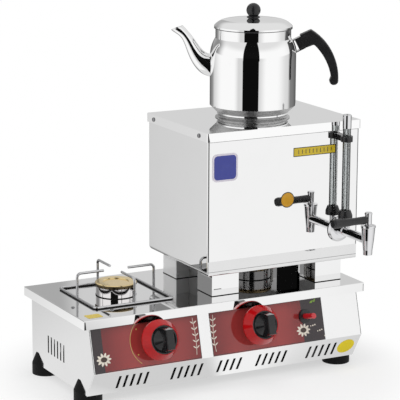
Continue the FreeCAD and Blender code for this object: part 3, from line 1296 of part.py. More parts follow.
def make_gauge():
    """Sight tube with its nut, top cap and the clamp to the boiler."""
    y = f"deck_y + {PANEL_Y} - gauge_reach"
    inside = "(gauge_radius + gauge_play)"
    nut_top = "(gauge_nut_low + gauge_nut_height)"
    nut = turned(
        "gauge_nut",
        ("nipple_radius + gauge_play", "gauge_nut_low"), ("gauge_nut_radius", "gauge_nut_low"),
        ("gauge_nut_radius", "gauge_nut_low + gauge_nut_band"),
        ("gauge_nut_radius * 0.75", nut_top), (inside, nut_top),
        (inside, f"{GAUGE_SEAT} - gauge_play"),
        ("nipple_radius + gauge_play", f"{GAUGE_SEAT} - gauge_play"),
    )
    top = "(gauge_cap_top - tap_height)"
    tube = turned(
        "gauge_tube",
        ("gauge_bore", GAUGE_SEAT), ("gauge_radius", GAUGE_SEAT),
        ("gauge_radius", f"{top} - 3"), ("gauge_bore", f"{top} - 3"),
    )
    cap = turned(
        "gauge_cap",
        (inside, f"{top} - gauge_cap_height"), ("gauge_cap_radius", f"{top} - gauge_cap_height"),
        ("gauge_cap_radius", f"{top} - 1.5"), ("gauge_cap_radius - 1.5", top), ("2", top),
        ("2", f"{top} - 2"), (inside, f"{top} - 2"),
    )
    for piece in (nut, tube, cap):
        place(piece, "tap_x", y, "tap_height")
    clamp = new_body("gauge_clamp")
    place(clamp, "tap_x", y, "clamp_low")
    flat = sketch(clamp, "XY_Plane", "band")
    outer = f"({inside} + clamp_wall)"
    circle(flat, outer)
    pad(clamp, flat, "clamp_height")
    flat = sketch(clamp, "XY_Plane", "stem")
    rectangle(flat, f"-{outer} * 0.6", "0", f"{outer} * 0.6", "gauge_reach")
    pad(clamp, flat, "clamp_height")
    flat = sketch(clamp, "XY_Plane", "bore")
    circle(flat, inside)
    pocket(clamp, flat, "clamp_height")


def make_teapot_body():
    """Round teapot shell with a locating heel, a strainer before the spout and an open neck."""
    base = "collar_height"
    foot = f"({base} + pot_foot)"
    body = turned(
        "teapot_body",
        ("0", f"{base} - heel_drop"),
        ("collar_radius - sheet_wall - heel_play", f"{base} - heel_drop"),
        ("collar_radius - sheet_wall - heel_play", base), ("pot_base", base),
        ("pot_base", foot), ("pot_radius", f"{foot} + pot_bevel"),
        ("pot_radius", "pot_shoulder", "shoulder_curve"), ("pot_neck", "pot_neck_low"),
        ("pot_neck", "pot_neck_top"), ("pot_neck - pot_wall", "pot_neck_top"),
        ("pot_neck - pot_wall", "pot_neck_low", "-(shoulder_curve - pot_wall)"),
        ("pot_radius - pot_wall", "pot_shoulder"),
        ("pot_radius - pot_wall", f"{foot} + pot_bevel + pot_wall * 0.4"),
        ("pot_base - pot_wall", f"{foot} + pot_wall * 0.4"),
        ("pot_base - pot_wall", f"{base} + pot_wall"),
        ("collar_radius - sheet_wall - heel_play - pot_wall", f"{base} + pot_wall"),
        ("collar_radius - sheet_wall - heel_play - pot_wall", f"{base} - heel_drop + pot_wall"),
        ("0", f"{base} - heel_drop + pot_wall"),
    )
    flat = sketch(body, "YZ_Plane", "strainer")
    circle(flat, "strainer_hole", "0", "spout0_up")
    for ring, count in ((1, 6), (2, 12)):
        for hole in range(count):
            turn = f"({hole} + 0.25) * 360 deg / {count}"
            circle(flat, "strainer_hole", f"{ring} * strainer_pitch * cos({turn})",
                   f"spout0_up + {ring} * strainer_pitch * sin({turn})")
    pocket(body, flat, "pot_radius + 2", along=False)
    stand_teapot(body)


def stand_teapot(thing, turn="0"):
    """Stand a teapot piece on the lid, its handle along the piece's own X."""
    place(thing, "teapot_x", TEAPOT_Y, "lid_top", axis=(0, 0, 1),
          angle=f"{turn} - handle_turn")


def teapot_block(name, over="seam / 3"):
    """Space that the teapot's body takes, a little larger, to fit pieces against it."""
    block = doc.addObject("PartDesign::Body", name)
    flat = sketch(block, "XZ_Plane", "profile")
    far = f"(pot_radius + {over})"
    near = f"(pot_neck + {over})"
    outline(flat, (
        ("0", "collar_height"), (far, "collar_height"), (far, "pot_shoulder", "shoulder_curve"),
        (near, "pot_neck_low"), (near, "lid_top"), ("0", "lid_top"),
    ))
    revolve(block, flat)
    return block


def limb_loft(name, limb, count, wall="0", over="0"):
    """Loft through a limb's sections, drawn in by a wall and made longer at its end."""
    rings = []
    for index in range(count):
        key = f"{limb}{index}"
        ring = solid("Ellipse", f"{name}_{index}", MajorRadius=f"{key}_tall - {wall}",
                     MinorRadius=f"{key}_wide - {wall}")
        last = over if index == count - 1 else "0"
        place(ring, f"{key}_out + {last} * cos({key}_lean * 1 deg)", "0",
              f"{key}_up + {last} * sin({key}_lean * 1 deg)",
              axis=(0, 1, 0), angle=f"90 - {key}_lean")
        rings.append(ring)
    loft = doc.addObject("Part::Loft", name)
    loft.Sections = rings
    loft.Solid = True
    return loft


def make_spout():
    """Curved spout, open at its tip and seated on the teapot's body."""
    outer = limb_loft("spout_outer", "spout", len(SPOUT))
    inner = limb_loft("spout_inner", "spout", len(SPOUT), "pot_wall", "seam")
    spout = without("teapot_spout", outer, inner, teapot_block("spout_block"))
    stand_teapot(spout, "180")
    keep("teapot_spout", spout)


def sleeve_point(along, across):
    """Place in the bracket's slope, from the middle of its open end: outward and upward."""
    turn = "bracket_lean * 1 deg"
    return (f"bracket_out + ({along}) * cos({turn}) - ({across}) * sin({turn})",
            f"bracket_up + ({along}) * sin({turn}) + ({across}) * cos({turn})")


def sleeve_box(name, width, height, length):
    """Block in the bracket's slope that starts inside the teapot."""
    block = solid("Box", name, Length=length, Width=width, Height=height)
    out, up = sleeve_point("-bracket_reach", f"-{height} / 2")
    place(block, out, f"-{width} / 2", up, axis=(0, 1, 0), angle="-bracket_lean")
    return block


def make_handle():
    """Moulded handle with its root in a steel channel that is cut to the shoulder."""
    inside = "(bracket_height - 2 * bracket_wall)"
    strap = sleeve_box("bracket_strap", "bracket_width", "bracket_height", "bracket_reach")
    space = sleeve_box("bracket_space", "(bracket_width + 2)", inside, "bracket_reach + 5")
    hollow = without("bracket_hollow", space, teapot_block("bracket_web", "bracket_wall"))
    bracket = without("handle_bracket", strap, teapot_block("bracket_block"), hollow)
    stand_teapot(bracket)
    keep("handle_bracket", bracket)
    handle = new_body("teapot_handle")
    flat = sketch(handle, "XZ_Plane", "side")
    corners = [(f"handle{index}_out", f"handle{index}_up") + ((f"handle{index}_bend",) if bend else ())
               for index, (_, _, bend) in enumerate(HANDLE)]
    outline(flat, (
        sleeve_point("-handle_root", f"-{inside} / 2"), sleeve_point("0", f"-{inside} / 2"),
        sleeve_point("0", "-bracket_height / 2"), *corners,
        sleeve_point("0", "bracket_height / 2 + handle_step"),
        sleeve_point("0", f"{inside} / 2"), sleeve_point("-handle_root", f"{inside} / 2"),
    ))
    pad(handle, flat, "handle_width", both=True)
    stand_teapot(handle)


def make_lid_and_knob():
    """Teapot lid with a skirt inside the neck, and its ball knob."""
    skirt = "(pot_neck - pot_wall - cover_play)"
    rim = "pot_neck_top"
    edge = f"({rim} + cover_rim)"
    bend = f"({edge} + cover_break_up)"
    cover = turned(
        "teapot_lid",
        (skirt, f"{rim} - cover_skirt"), (skirt, rim), ("cover_radius", rim),
        ("cover_radius", edge, "cover_edge"), ("cover_break", bend, "cover_curve"),
        ("knob_foot + 2", COVER_TOP), ("3", COVER_TOP), ("3", f"{COVER_TOP} - cover_wall"),
        ("knob_foot + 2", f"{COVER_TOP} - cover_wall", "-cover_curve"),
        ("cover_break", f"{bend} - cover_wall", "-(cover_edge - cover_wall)"),
        (f"{skirt} - cover_wall", f"{edge} + 3 * cover_wall"),
        (f"{skirt} - cover_wall", f"{rim} - cover_skirt"),
    )
    stand_teapot(cover)
    middle = f"({COVER_TOP} + knob_height)"
    knob = turned(
        "lid_knob",
        ("0", COVER_TOP), ("knob_foot", COVER_TOP), ("knob_foot", f"{COVER_TOP} + 1"),
        ("knob_neck", f"{middle} - sqrt(knob_ball^2 - knob_neck^2)", "knob_ball"),
        ("0", f"{middle} + knob_ball"),
    )
    stand_teapot(knob)


make_cooktop()
make_side_panel("side_panel_left", "-")
make_side_panel("side_panel_right", "")
make_front_panel()
make_back_panel()
make_bottom_plate()
make_control_plate("control_plate_left", "left_plate_start", "left_plate_length",
                   (("valve_radius + seam", KNOBS["left"], "knob_drop"),))
make_control_plate("control_plate_right", "right_plate_start", "right_plate_length",
                   (("valve_radius + seam", KNOBS["right"], "knob_drop"),
                    ("bezel_neck + seam", "igniter_x", "igniter_drop")))
make_feet()
make_casing_screws()
make_gas_rail()
make_gas_inlet()
for hand in KNOBS:
    make_valve(hand)
    make_mixing_tube(hand)
    make_burner(hand)
    make_knob(hand)
make_jets()
make_pot_support()
make_igniter()
make_boiler_body()
make_boiler_lid()
for leg_name, leg_x, leg_y, leg_depth in (
        ("leg_front_left", "-", "-", "leg_front_depth"),
        ("leg_front_right", "", "-", "leg_front_depth"),
        ("leg_rear_left", "-", "", "leg_back_depth"),
        ("leg_rear_right", "", "", "leg_back_depth")):
    make_leg(leg_name, leg_x, leg_y, leg_depth)
make_lid_screws()
make_tap()
make_gauge()
make_teapot_body()
make_spout()
make_handle()
make_lid_and_knob()

doc.recompute()
failed = [f"{thing.Name}: {thing.getStatusString()}" for thing in doc.Objects
          if "Invalid" in thing.State or "Error" in thing.State]
if failed:
    raise RuntimeError("; ".join(failed))
for label, thing in NODES.items():
    if thing.Shape.isNull() or not thing.Shape.isValid() or not thing.Shape.Solids:
        raise RuntimeError(f"{label} has no valid solid")
os.makedirs("parts", exist_ok=True)
for label, thing in NODES.items():
    thing.Shape.exportStep(f"parts/{label}.step")
    print(label, len(thing.Shape.Solids), round(thing.Shape.Volume / 1000, 2))
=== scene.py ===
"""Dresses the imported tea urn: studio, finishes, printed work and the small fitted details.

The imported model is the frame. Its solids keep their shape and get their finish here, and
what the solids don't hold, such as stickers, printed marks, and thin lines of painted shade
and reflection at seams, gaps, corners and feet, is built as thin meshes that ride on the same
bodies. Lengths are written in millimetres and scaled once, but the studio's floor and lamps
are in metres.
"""

import logging
import math
from collections.abc import Sequence
from dataclasses import dataclass
from enum import Enum

import bmesh
import bpy
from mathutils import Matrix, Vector


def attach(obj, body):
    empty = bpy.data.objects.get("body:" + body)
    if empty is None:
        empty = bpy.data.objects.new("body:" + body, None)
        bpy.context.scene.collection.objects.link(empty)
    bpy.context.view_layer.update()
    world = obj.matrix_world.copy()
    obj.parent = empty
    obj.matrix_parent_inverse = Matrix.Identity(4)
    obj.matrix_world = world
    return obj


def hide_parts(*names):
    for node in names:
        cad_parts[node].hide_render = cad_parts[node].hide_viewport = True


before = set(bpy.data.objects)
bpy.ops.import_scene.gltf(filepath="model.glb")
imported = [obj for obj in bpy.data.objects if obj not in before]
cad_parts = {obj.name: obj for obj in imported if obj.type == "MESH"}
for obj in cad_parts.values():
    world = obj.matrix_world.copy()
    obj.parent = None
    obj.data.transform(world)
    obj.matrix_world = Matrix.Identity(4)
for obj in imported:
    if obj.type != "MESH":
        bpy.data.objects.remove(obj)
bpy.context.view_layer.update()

Socket = bpy.types.NodeSocket
Node = bpy.types.Node
BMesh = bmesh.types.BMesh
Colour = tuple[float, float, float]
Point = tuple[float, float, float]
Pair = tuple[float, float]
Step = tuple[float, float, float, float]
Outline = list[Pair]

MM = 0.001
WHITE = (1.0, 1.0, 1.0, 1.0)
CONTROL_NORMAL = (0.0, -0.96456, 0.26387)
GRAIN_STRETCH = (0.04, 1.0, 1.0)
SHEET_CLOUDS = 9.0
SHEET_WAVES = 6.5
SKIN_CLOUDS = 30.0
HANDLED_PATCHES = (0.45, 0.75)
LEAN_SOFTNESS = 0.15
BLACKENING_AND_SHADE_EDGE = (0.8, 1.0)
BACK_FACING = (-0.6, -0.4)
SHARP_ANGLE = 35.0
PLATE_WALL = 0.8
INK_LIFT = 0.05
INK_WALL = 0.05
LINE_LIFT = 0.02
FILM_WALL = 0.12

log = logging.getLogger("tea_urn")
logging.basicConfig(level=logging.INFO, format="%(name)s: %(message)s")


class Graph:
    """Adds nodes to one node tree and joins them."""

    def __init__(self, tree: bpy.types.NodeTree) -> None:
        """Start on the node tree of a material, world or group and clear what it holds."""
        self.tree = tree
        tree.nodes.clear()

    def add(self, kind: str, **settings: object) -> Node:
        """Add a node.

        Args:
            kind: Node type, from which the word ShaderNode may be left off.
            settings: Properties of the node, by name.

        Returns:
            The new node.
        """
        node = self.tree.nodes.new(kind if kind.startswith("Node") else "ShaderNode" + kind)
        for name, value in settings.items():
            setattr(node, name, value)
        return node

    def plug(self, socket: Socket, value: object) -> None:
        """Join an input to an output, or set the input's own value.

        Args:
            socket: The input.
            value: Output socket, number, vector or colour.
        """
        if isinstance(value, Socket):
            self.tree.links.new(value, socket)
        else:
            socket.default_value = value

    def feed(self, node: Node, **inputs: object) -> Node:
        """Feed inputs of a node; the underscores in a name stand for spaces.

        Args:
            node: Node whose inputs are fed.
            inputs: Numbers, colours or output sockets, by input name.

        Returns:
            The same node.
        """
        for name, value in inputs.items():
            self.plug(node.inputs[name.replace("_", " ")], value)
        return node

    def maths(self, operation: str, *values: object) -> Socket:
        """Add a Math node.

        Args:
            operation: Name of the operation.
            values: Numbers or sockets, in order.

        Returns:
            The result socket.
        """
        node = self.add("Math", operation=operation)
        for socket, value in zip(node.inputs, values):
            self.plug(socket, value)
        return node.outputs[0]

    def product(self, first: Socket, *others: object) -> Socket:
        """Multiply a value by numbers or sockets.

        Args:
            first: Socket with the value.
            others: Numbers or sockets.

        Returns:
            The result socket.
        """
        for other in others:
            first = self.maths("MULTIPLY", first, other)
        return first

    def band(self, value: Socket, low: float, high: float, start: float = 0.0,
             end: float = 1.0) -> Socket:
        """Map a value smoothly from one range to another.

        Args:
            value: Socket with the value.
            low: Value that gives the start.
            high: Value that gives the end.
            start: Result at the low value.
            end: Result at the high value.

        Returns:
            The result socket.
        """
        node = self.add("MapRange", interpolation_type="SMOOTHSTEP")
        self.feed(node, Value=value, From_Min=low, From_Max=high, To_Min=start, To_Max=end)
        return node.outputs[0]

    def mix(self, mask: object, first: object, second: object) -> Socket:
        """Mix two colours by a mask.

        Args:
            mask: Number or socket, 0 gives the first colour.
            first: Colour or socket.
            second: Colour or socket.

        Returns:
            The colour socket.
        """
        node = self.add("Mix", data_type="RGBA")
        self.plug(node.inputs[0], mask)
        for index, value in ((6, first), (7, second)):
            self.plug(node.inputs[index], (*value, 1.0) if isinstance(value, tuple) else value)
        return node.outputs[2]

    def between(self, share: Socket, first: object, second: object) -> Socket:
        """Mix two numbers.

        Args:
            share: Socket, 0 gives the first number.
            first: Number or socket.
            second: Number or socket.

        Returns:
            The number's socket.
        """
        node = self.add("Mix", data_type="FLOAT")
        for index, value in ((0, share), (2, first), (3, second)):
            self.plug(node.inputs[index], value)
        return node.outputs[0]

    def place(self) -> Socket:
        """Give the object's own coordinates."""
        return self.add("TexCoord").outputs["Object"]

    def split(self, vector: Socket) -> bpy.types.NodeOutputs:
        """Give the three parts of a vector."""
        return self.feed(self.add("SeparateXYZ"), Vector=vector).outputs

    def dot(self, vector: Socket, way: Point) -> Socket:
        """Measure a vector along a direction.

        Args:
            vector: Socket with the vector.
            way: The direction.

        Returns:
            The socket with the length.
        """
        node = self.add("VectorMath", operation="DOT_PRODUCT")
        self.plug(node.inputs[0], vector)
        self.plug(node.inputs[1], way)
        return node.outputs["Value"]

    def noise(self, place: Socket, scale: object, detail: float = 2.0,
              roughness: float = 0.5) -> Socket:
        """Add a noise texture and give the socket of its value."""
        return self.feed(self.add("TexNoise"), Vector=place, Scale=scale, Detail=detail,
                         Roughness=roughness).outputs["Fac"]

    def bump(self, height: Socket, strength: float, depth: float) -> Socket:
        """Turn a height into a normal; the depth is in metres."""
        return self.feed(self.add("Bump"), Height=height, Strength=strength,
                         Distance=depth).outputs[0]

    def group(self, effect: "Effect", **inputs: object) -> bpy.types.NodeOutputs:
        """Place a shared effect.

        Args:
            effect: The effect.
            inputs: Values of its named inputs.

        Returns:
            The outputs of the group node.
        """
        node = self.add("Group")
        node.node_tree = effect.tree()
        return self.feed(node, **inputs).outputs


class Effect(Enum):
    """Surface effects that several finishes share, each one shader group."""

    POLISH = "polished sheet"
    HANDLING = "handling marks"
    MOULDING = "moulded skin"
    BLACKENING_AND_SHADE = "flame blackening and painted shade"

    def tree(self) -> bpy.types.NodeTree:
        """Hand out this effect's group, built on first use.

        Returns:
            The group's node tree.
        """
        known = bpy.data.node_groups.get(self.value)
        if known:
            return known
        made = bpy.data.node_groups.new(self.value, "ShaderNodeTree")
        builders = {Effect.POLISH: build_polish, Effect.HANDLING: build_handling,
                    Effect.MOULDING: build_moulding, Effect.BLACKENING_AND_SHADE: build_blackening_and_shade}
        builders[self](made)
        return made


def open_group(tree: bpy.types.NodeTree, inputs: dict[str, float],
               outputs: tuple[str, ...]) -> tuple[Graph, bpy.types.NodeOutputs, Node]:
    """Give a shader group its named sockets.

    Args:
        tree: The group's node tree.
        inputs: Names and usual values of the number inputs.
        outputs: Names of the number outputs.

    Returns:
        The graph, what the group is given, and its output node.
    """
    for name, value in inputs.items():
        socket = tree.interface.new_socket(name, in_out="INPUT", socket_type="NodeSocketFloat")
        socket.default_value = value
    for name in outputs:
        tree.interface.new_socket(name, in_out="OUTPUT", socket_type="NodeSocketFloat")
    graph = Graph(tree)
    return graph, graph.add("NodeGroupInput").outputs, graph.add("NodeGroupOutput")


def build_polish(tree: bpy.types.NodeTree) -> None:
    """Fill the group that gives rolled and polished sheet its fine grain and slow waves.

    Args:
        tree: The empty group.
    """
    graph, given, result = open_group(
        tree, {"Grain Size": 0.0004, "Roughness": 0.06, "Spread": 0.03, "Wave": 0.5},
        ("Roughness", "Height"))
    place = graph.place()
    stretched = graph.feed(graph.add("Mapping"), Vector=place, Scale=GRAIN_STRETCH).outputs[0]
    grain = graph.noise(stretched, graph.maths("DIVIDE", 1.0, given["Grain Size"]))
    cloud = graph.noise(place, SHEET_CLOUDS, 3.0)
    wave = graph.noise(place, SHEET_WAVES, 1.0)
    both = graph.maths("ADD", graph.product(grain, 0.5), graph.product(cloud, 0.5))
    spread = graph.product(graph.maths("SUBTRACT", both, 0.5), given["Spread"])
    graph.feed(result, Roughness=graph.maths("ADD", given["Roughness"], spread),
               Height=graph.product(wave, given["Wave"]))


def build_handling(tree: bpy.types.NodeTree) -> None:
    """Fill the group that marks where hands and cloths have dulled a surface.

    Args:
        tree: The empty group.
    """
    graph, given, result = open_group(tree, {"Scale": 14.0, "Amount": 0.5}, ("Mask",))
    patch = graph.noise(graph.place(), given["Scale"], 4.0, 0.6)
    graph.feed(result, Mask=graph.product(graph.band(patch, *HANDLED_PATCHES),
                                          given["Amount"]))


def build_moulding(tree: bpy.types.NodeTree) -> None:
    """Fill the group that gives moulded plastic and rubber their skin.

    Args:
        tree: The empty group.
    """
    graph, given, result = open_group(
        tree, {"Skin Size": 0.0006, "Roughness": 0.4, "Spread": 0.1}, ("Roughness", "Height"))
    place = graph.place()
    skin = graph.noise(place, graph.maths("DIVIDE", 1.0, given["Skin Size"]))
    cloud = graph.noise(place, SKIN_CLOUDS)
    spread = graph.product(graph.maths("SUBTRACT", cloud, 0.5), given["Spread"])
    graph.feed(result, Roughness=graph.maths("ADD", given["Roughness"], spread), Height=skin)


def build_blackening_and_shade(tree: bpy.types.NodeTree) -> None:
    """Fill the group that darkens faces that lean down, round an upright axis.

    Args:
        tree: The empty group.
    """
    graph, given, result = open_group(
        tree, {"Lean": -0.7, "Top": 0.21, "Reach": 0.1, "Middle X": 0.0, "Middle Y": 0.0,
               "Amount": 1.0}, ("Mask",))
    coordinates = graph.add("TexCoord").outputs
    place = graph.split(coordinates["Object"])
    facing = graph.split(coordinates["Normal"])["Z"]
    under = graph.band(graph.maths("SUBTRACT", facing, given["Lean"]),
                       -LEAN_SOFTNESS, LEAN_SOFTNESS, 1.0, 0.0)
    squares = []
    for axis in "XY":
        off = graph.maths("SUBTRACT", place[axis], given[f"Middle {axis}"])
        squares.append(graph.product(off, off))
    away = graph.maths("SQRT", graph.maths("ADD", *squares))
    near = graph.band(graph.maths("DIVIDE", away, given["Reach"]), *BLACKENING_AND_SHADE_EDGE, 1.0, 0.0)
    low = graph.maths("LESS_THAN", place["Z"], given["Top"])
    graph.feed(result, Mask=graph.product(under, near, low, given["Amount"]))


@dataclass(frozen=True)
class BlackeningAndShade:
    """Darkening of a metal's faces that lean down near an upright axis, mostly painted shade."""

    lean: float = -0.7
    top: float = 215.0
    reach: float = 85.0
    middle: Pair = (120.2, 42.1)
    amount: float = 1.0
    tint: Colour = (0.018, 0.016, 0.015)
    dulling: float = 0.35


class Finish:
    """Base of the finishes: makes its material once and hands it out."""

    name: str

    def material(self) -> bpy.types.Material:
        """Hand out this finish's material, made on first use.

        Returns:
            The material.
        """
        known = bpy.data.materials.get(self.name)
        if known:
            return known
        made = bpy.data.materials.new(self.name)
        made.use_nodes = True
        graph = Graph(made.node_tree)
        shader = graph.add("BsdfPrincipled")
        graph.feed(graph.add("OutputMaterial"), Surface=shader.outputs[0])
        self.dress(graph, shader)
        return made

    def dress(self, graph: Graph, shader: Node) -> None:
        """Set the shader up; each finish says how."""
        raise NotImplementedError


@dataclass(frozen=True)
class Metal(Finish):
    """Bare metal with a polished, plated or cast skin."""

    name: str
    tint: Colour
    dull_tint: Colour
    gloss: float = 0.06
    spread: float = 0.03
    grain: float = 0.0004
    wave: float = 0.5
    wave_depth: float = 0.0006
    wave_strength: float = 0.25
    handled: float = 0.3
    bare: float = 1.0
    blackening_and_shade: BlackeningAndShade | None = None

    def dress(self, graph: Graph, shader: Node) -> None:
        """Set up polished metal with handling marks, and where it has one, a darkening of faces
        that lean down, mostly painted shade.

        Args:
            graph: Graph of the material.
            shader: Its Principled BSDF.
        """
        polish = graph.group(Effect.POLISH, Grain_Size=self.grain, Roughness=self.gloss,
                             Spread=self.spread, Wave=self.wave)
        marks = graph.group(Effect.HANDLING, Amount=self.handled)["Mask"]
        colour = graph.mix(marks, self.tint, self.dull_tint)
        dulled = graph.maths("ADD", polish["Roughness"], graph.product(marks, self.spread))
        if self.blackening_and_shade:
            mask = graph.group(
                Effect.BLACKENING_AND_SHADE, Lean=self.blackening_and_shade.lean, Top=self.blackening_and_shade.top * MM,
                Reach=self.blackening_and_shade.reach * MM, Middle_X=self.blackening_and_shade.middle[0] * MM,
                Middle_Y=self.blackening_and_shade.middle[1] * MM, Amount=self.blackening_and_shade.amount)["Mask"]
            colour = graph.mix(mask, colour, self.blackening_and_shade.tint)
            dulled = graph.maths("ADD", dulled, graph.product(mask, self.blackening_and_shade.dulling))
        graph.feed(shader, Base_Color=colour, Metallic=self.bare, Roughness=dulled,
                   Normal=graph.bump(polish["Height"], self.wave_strength, self.wave_depth))


@dataclass(frozen=True)
class Moulded(Finish):
    """Moulded plastic, rubber or ceramic; a back colour is for faces turned to the urn."""

    name: str
    tint: Colour
    worn_tint: Colour
    gloss: float = 0.35
    spread: float = 0.1
    skin: float = 0.0006
    skin_depth: float = 0.00008
    skin_strength: float = 0.3
    lacquer: float = 0.0
    shine: float = 0.5
    back: Colour | None = None

    def dress(self, graph: Graph, shader: Node) -> None:
        """Set up a moulded skin with slight wear.

        Args:
            graph: Graph of the material.
            shader: Its Principled BSDF.
        """
        skin = graph.group(Effect.MOULDING, Skin_Size=self.skin, Roughness=self.gloss,
                           Spread=self.spread)
        marks = graph.group(Effect.HANDLING, Scale=40.0, Amount=0.35)["Mask"]
        colour = graph.mix(marks, self.tint, self.worn_tint)
        if self.back:
            facing = graph.dot(graph.add("TexCoord").outputs["Normal"], CONTROL_NORMAL)
            colour = graph.mix(graph.band(facing, *BACK_FACING), self.back, colour)
        graph.feed(shader, Base_Color=colour, Roughness=skin["Roughness"],
                   Normal=graph.bump(skin["Height"], self.skin_strength, self.skin_depth),
                   Coat_Weight=self.lacquer, Coat_Roughness=0.04,
                   Specular_IOR_Level=self.shine)


@dataclass(frozen=True)
class PrintedFace(Finish):
    """Laminated control plate: warm red field, charcoal end, varnish over both."""

    name: str
    charcoal_from: float
    charcoal_to: float
    middle: float
    reach: float = 110.0
    red: Colour = (0.36, 0.038, 0.036)
    deep_red: Colour = (0.15, 0.008, 0.010)
    charcoal: Colour = (0.014, 0.012, 0.016)
    speck: Colour = (0.5, 0.2, 0.18)
    speck_share: float = 0.05
    speck_scale: float = 900.0

    def dress(self, graph: Graph, shader: Node) -> None:
        """Set up the printed fields by their place along the plate.

        Args:
            graph: Graph of the material.
            shader: Its Principled BSDF.
        """
        place = graph.place()
        across = graph.split(place)["X"]
        off = graph.maths("ABSOLUTE", graph.maths("SUBTRACT", across, self.middle * MM))
        deep = graph.band(off, 0.25 * self.reach * MM, self.reach * MM)
        inside = graph.product(graph.maths("GREATER_THAN", across, self.charcoal_from * MM),
                               graph.maths("LESS_THAN", across, self.charcoal_to * MM))
        printed = graph.mix(inside, graph.mix(deep, self.red, self.deep_red), self.charcoal)
        specks = graph.product(graph.noise(place, self.speck_scale), self.speck_share)
        skin = graph.group(Effect.MOULDING, Skin_Size=0.002, Roughness=0.10, Spread=0.04)
        graph.feed(shader, Base_Color=graph.mix(specks, printed, self.speck),
                   Roughness=skin["Roughness"], Normal=graph.bump(skin["Height"], 0.10, 0.00003),
                   Coat_Weight=0.7, Coat_Roughness=0.03, Specular_IOR_Level=0.3)


@dataclass(frozen=True)
class Ink(Finish):
    """Printed ink or plain sticker film."""

    name: str
    tint: Colour
    faded_tint: Colour
    gloss: float = 0.3
    lacquer: float = 0.3

    def dress(self, graph: Graph, shader: Node) -> None:
        """Set up ink with a slight fade.

        Args:
            graph: Graph of the material.
            shader: Its Principled BSDF.
        """
        marks = graph.group(Effect.HANDLING, Scale=60.0, Amount=0.6)["Mask"]
        skin = graph.group(Effect.MOULDING, Skin_Size=0.0008, Roughness=self.gloss, Spread=0.06)
        graph.feed(shader, Base_Color=graph.mix(marks, self.tint, self.faded_tint),
                   Roughness=skin["Roughness"], Normal=graph.bump(skin["Height"], 0.1, 0.00003),
                   Coat_Weight=self.lacquer, Coat_Roughness=0.1)


@dataclass(frozen=True)
class SightGlass(Finish):
    """Clear tube of the level gauge."""

    name: str
    tint: Colour = (0.74, 0.76, 0.76)
    scaled_tint: Colour = (0.62, 0.64, 0.62)

    def dress(self, graph: Graph, shader: Node) -> None:
        """Set up clear glass with a trace of scale on it.

        Args:
            graph: Graph of the material.
            shader: Its Principled BSDF.
        """
        marks = graph.group(Effect.HANDLING, Scale=90.0, Amount=0.3)["Mask"]
        graph.feed(shader, Base_Color=graph.mix(marks, self.tint, self.scaled_tint),
                   Transmission_Weight=1.0, IOR=1.47, Roughness=graph.product(marks, 0.08))


class Choice(Enum):
    """Base of the named finishes."""

    def cover(self, *nodes: str) -> None:
        """Put this finish on solids of the frame.

        Args:
            nodes: Names of the solids.
        """
        for name in nodes:
            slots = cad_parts[name].data.materials
            slots.clear()
            slots.append(self.value.material())
            log.info("finish %s on %s", self.value.name, name)


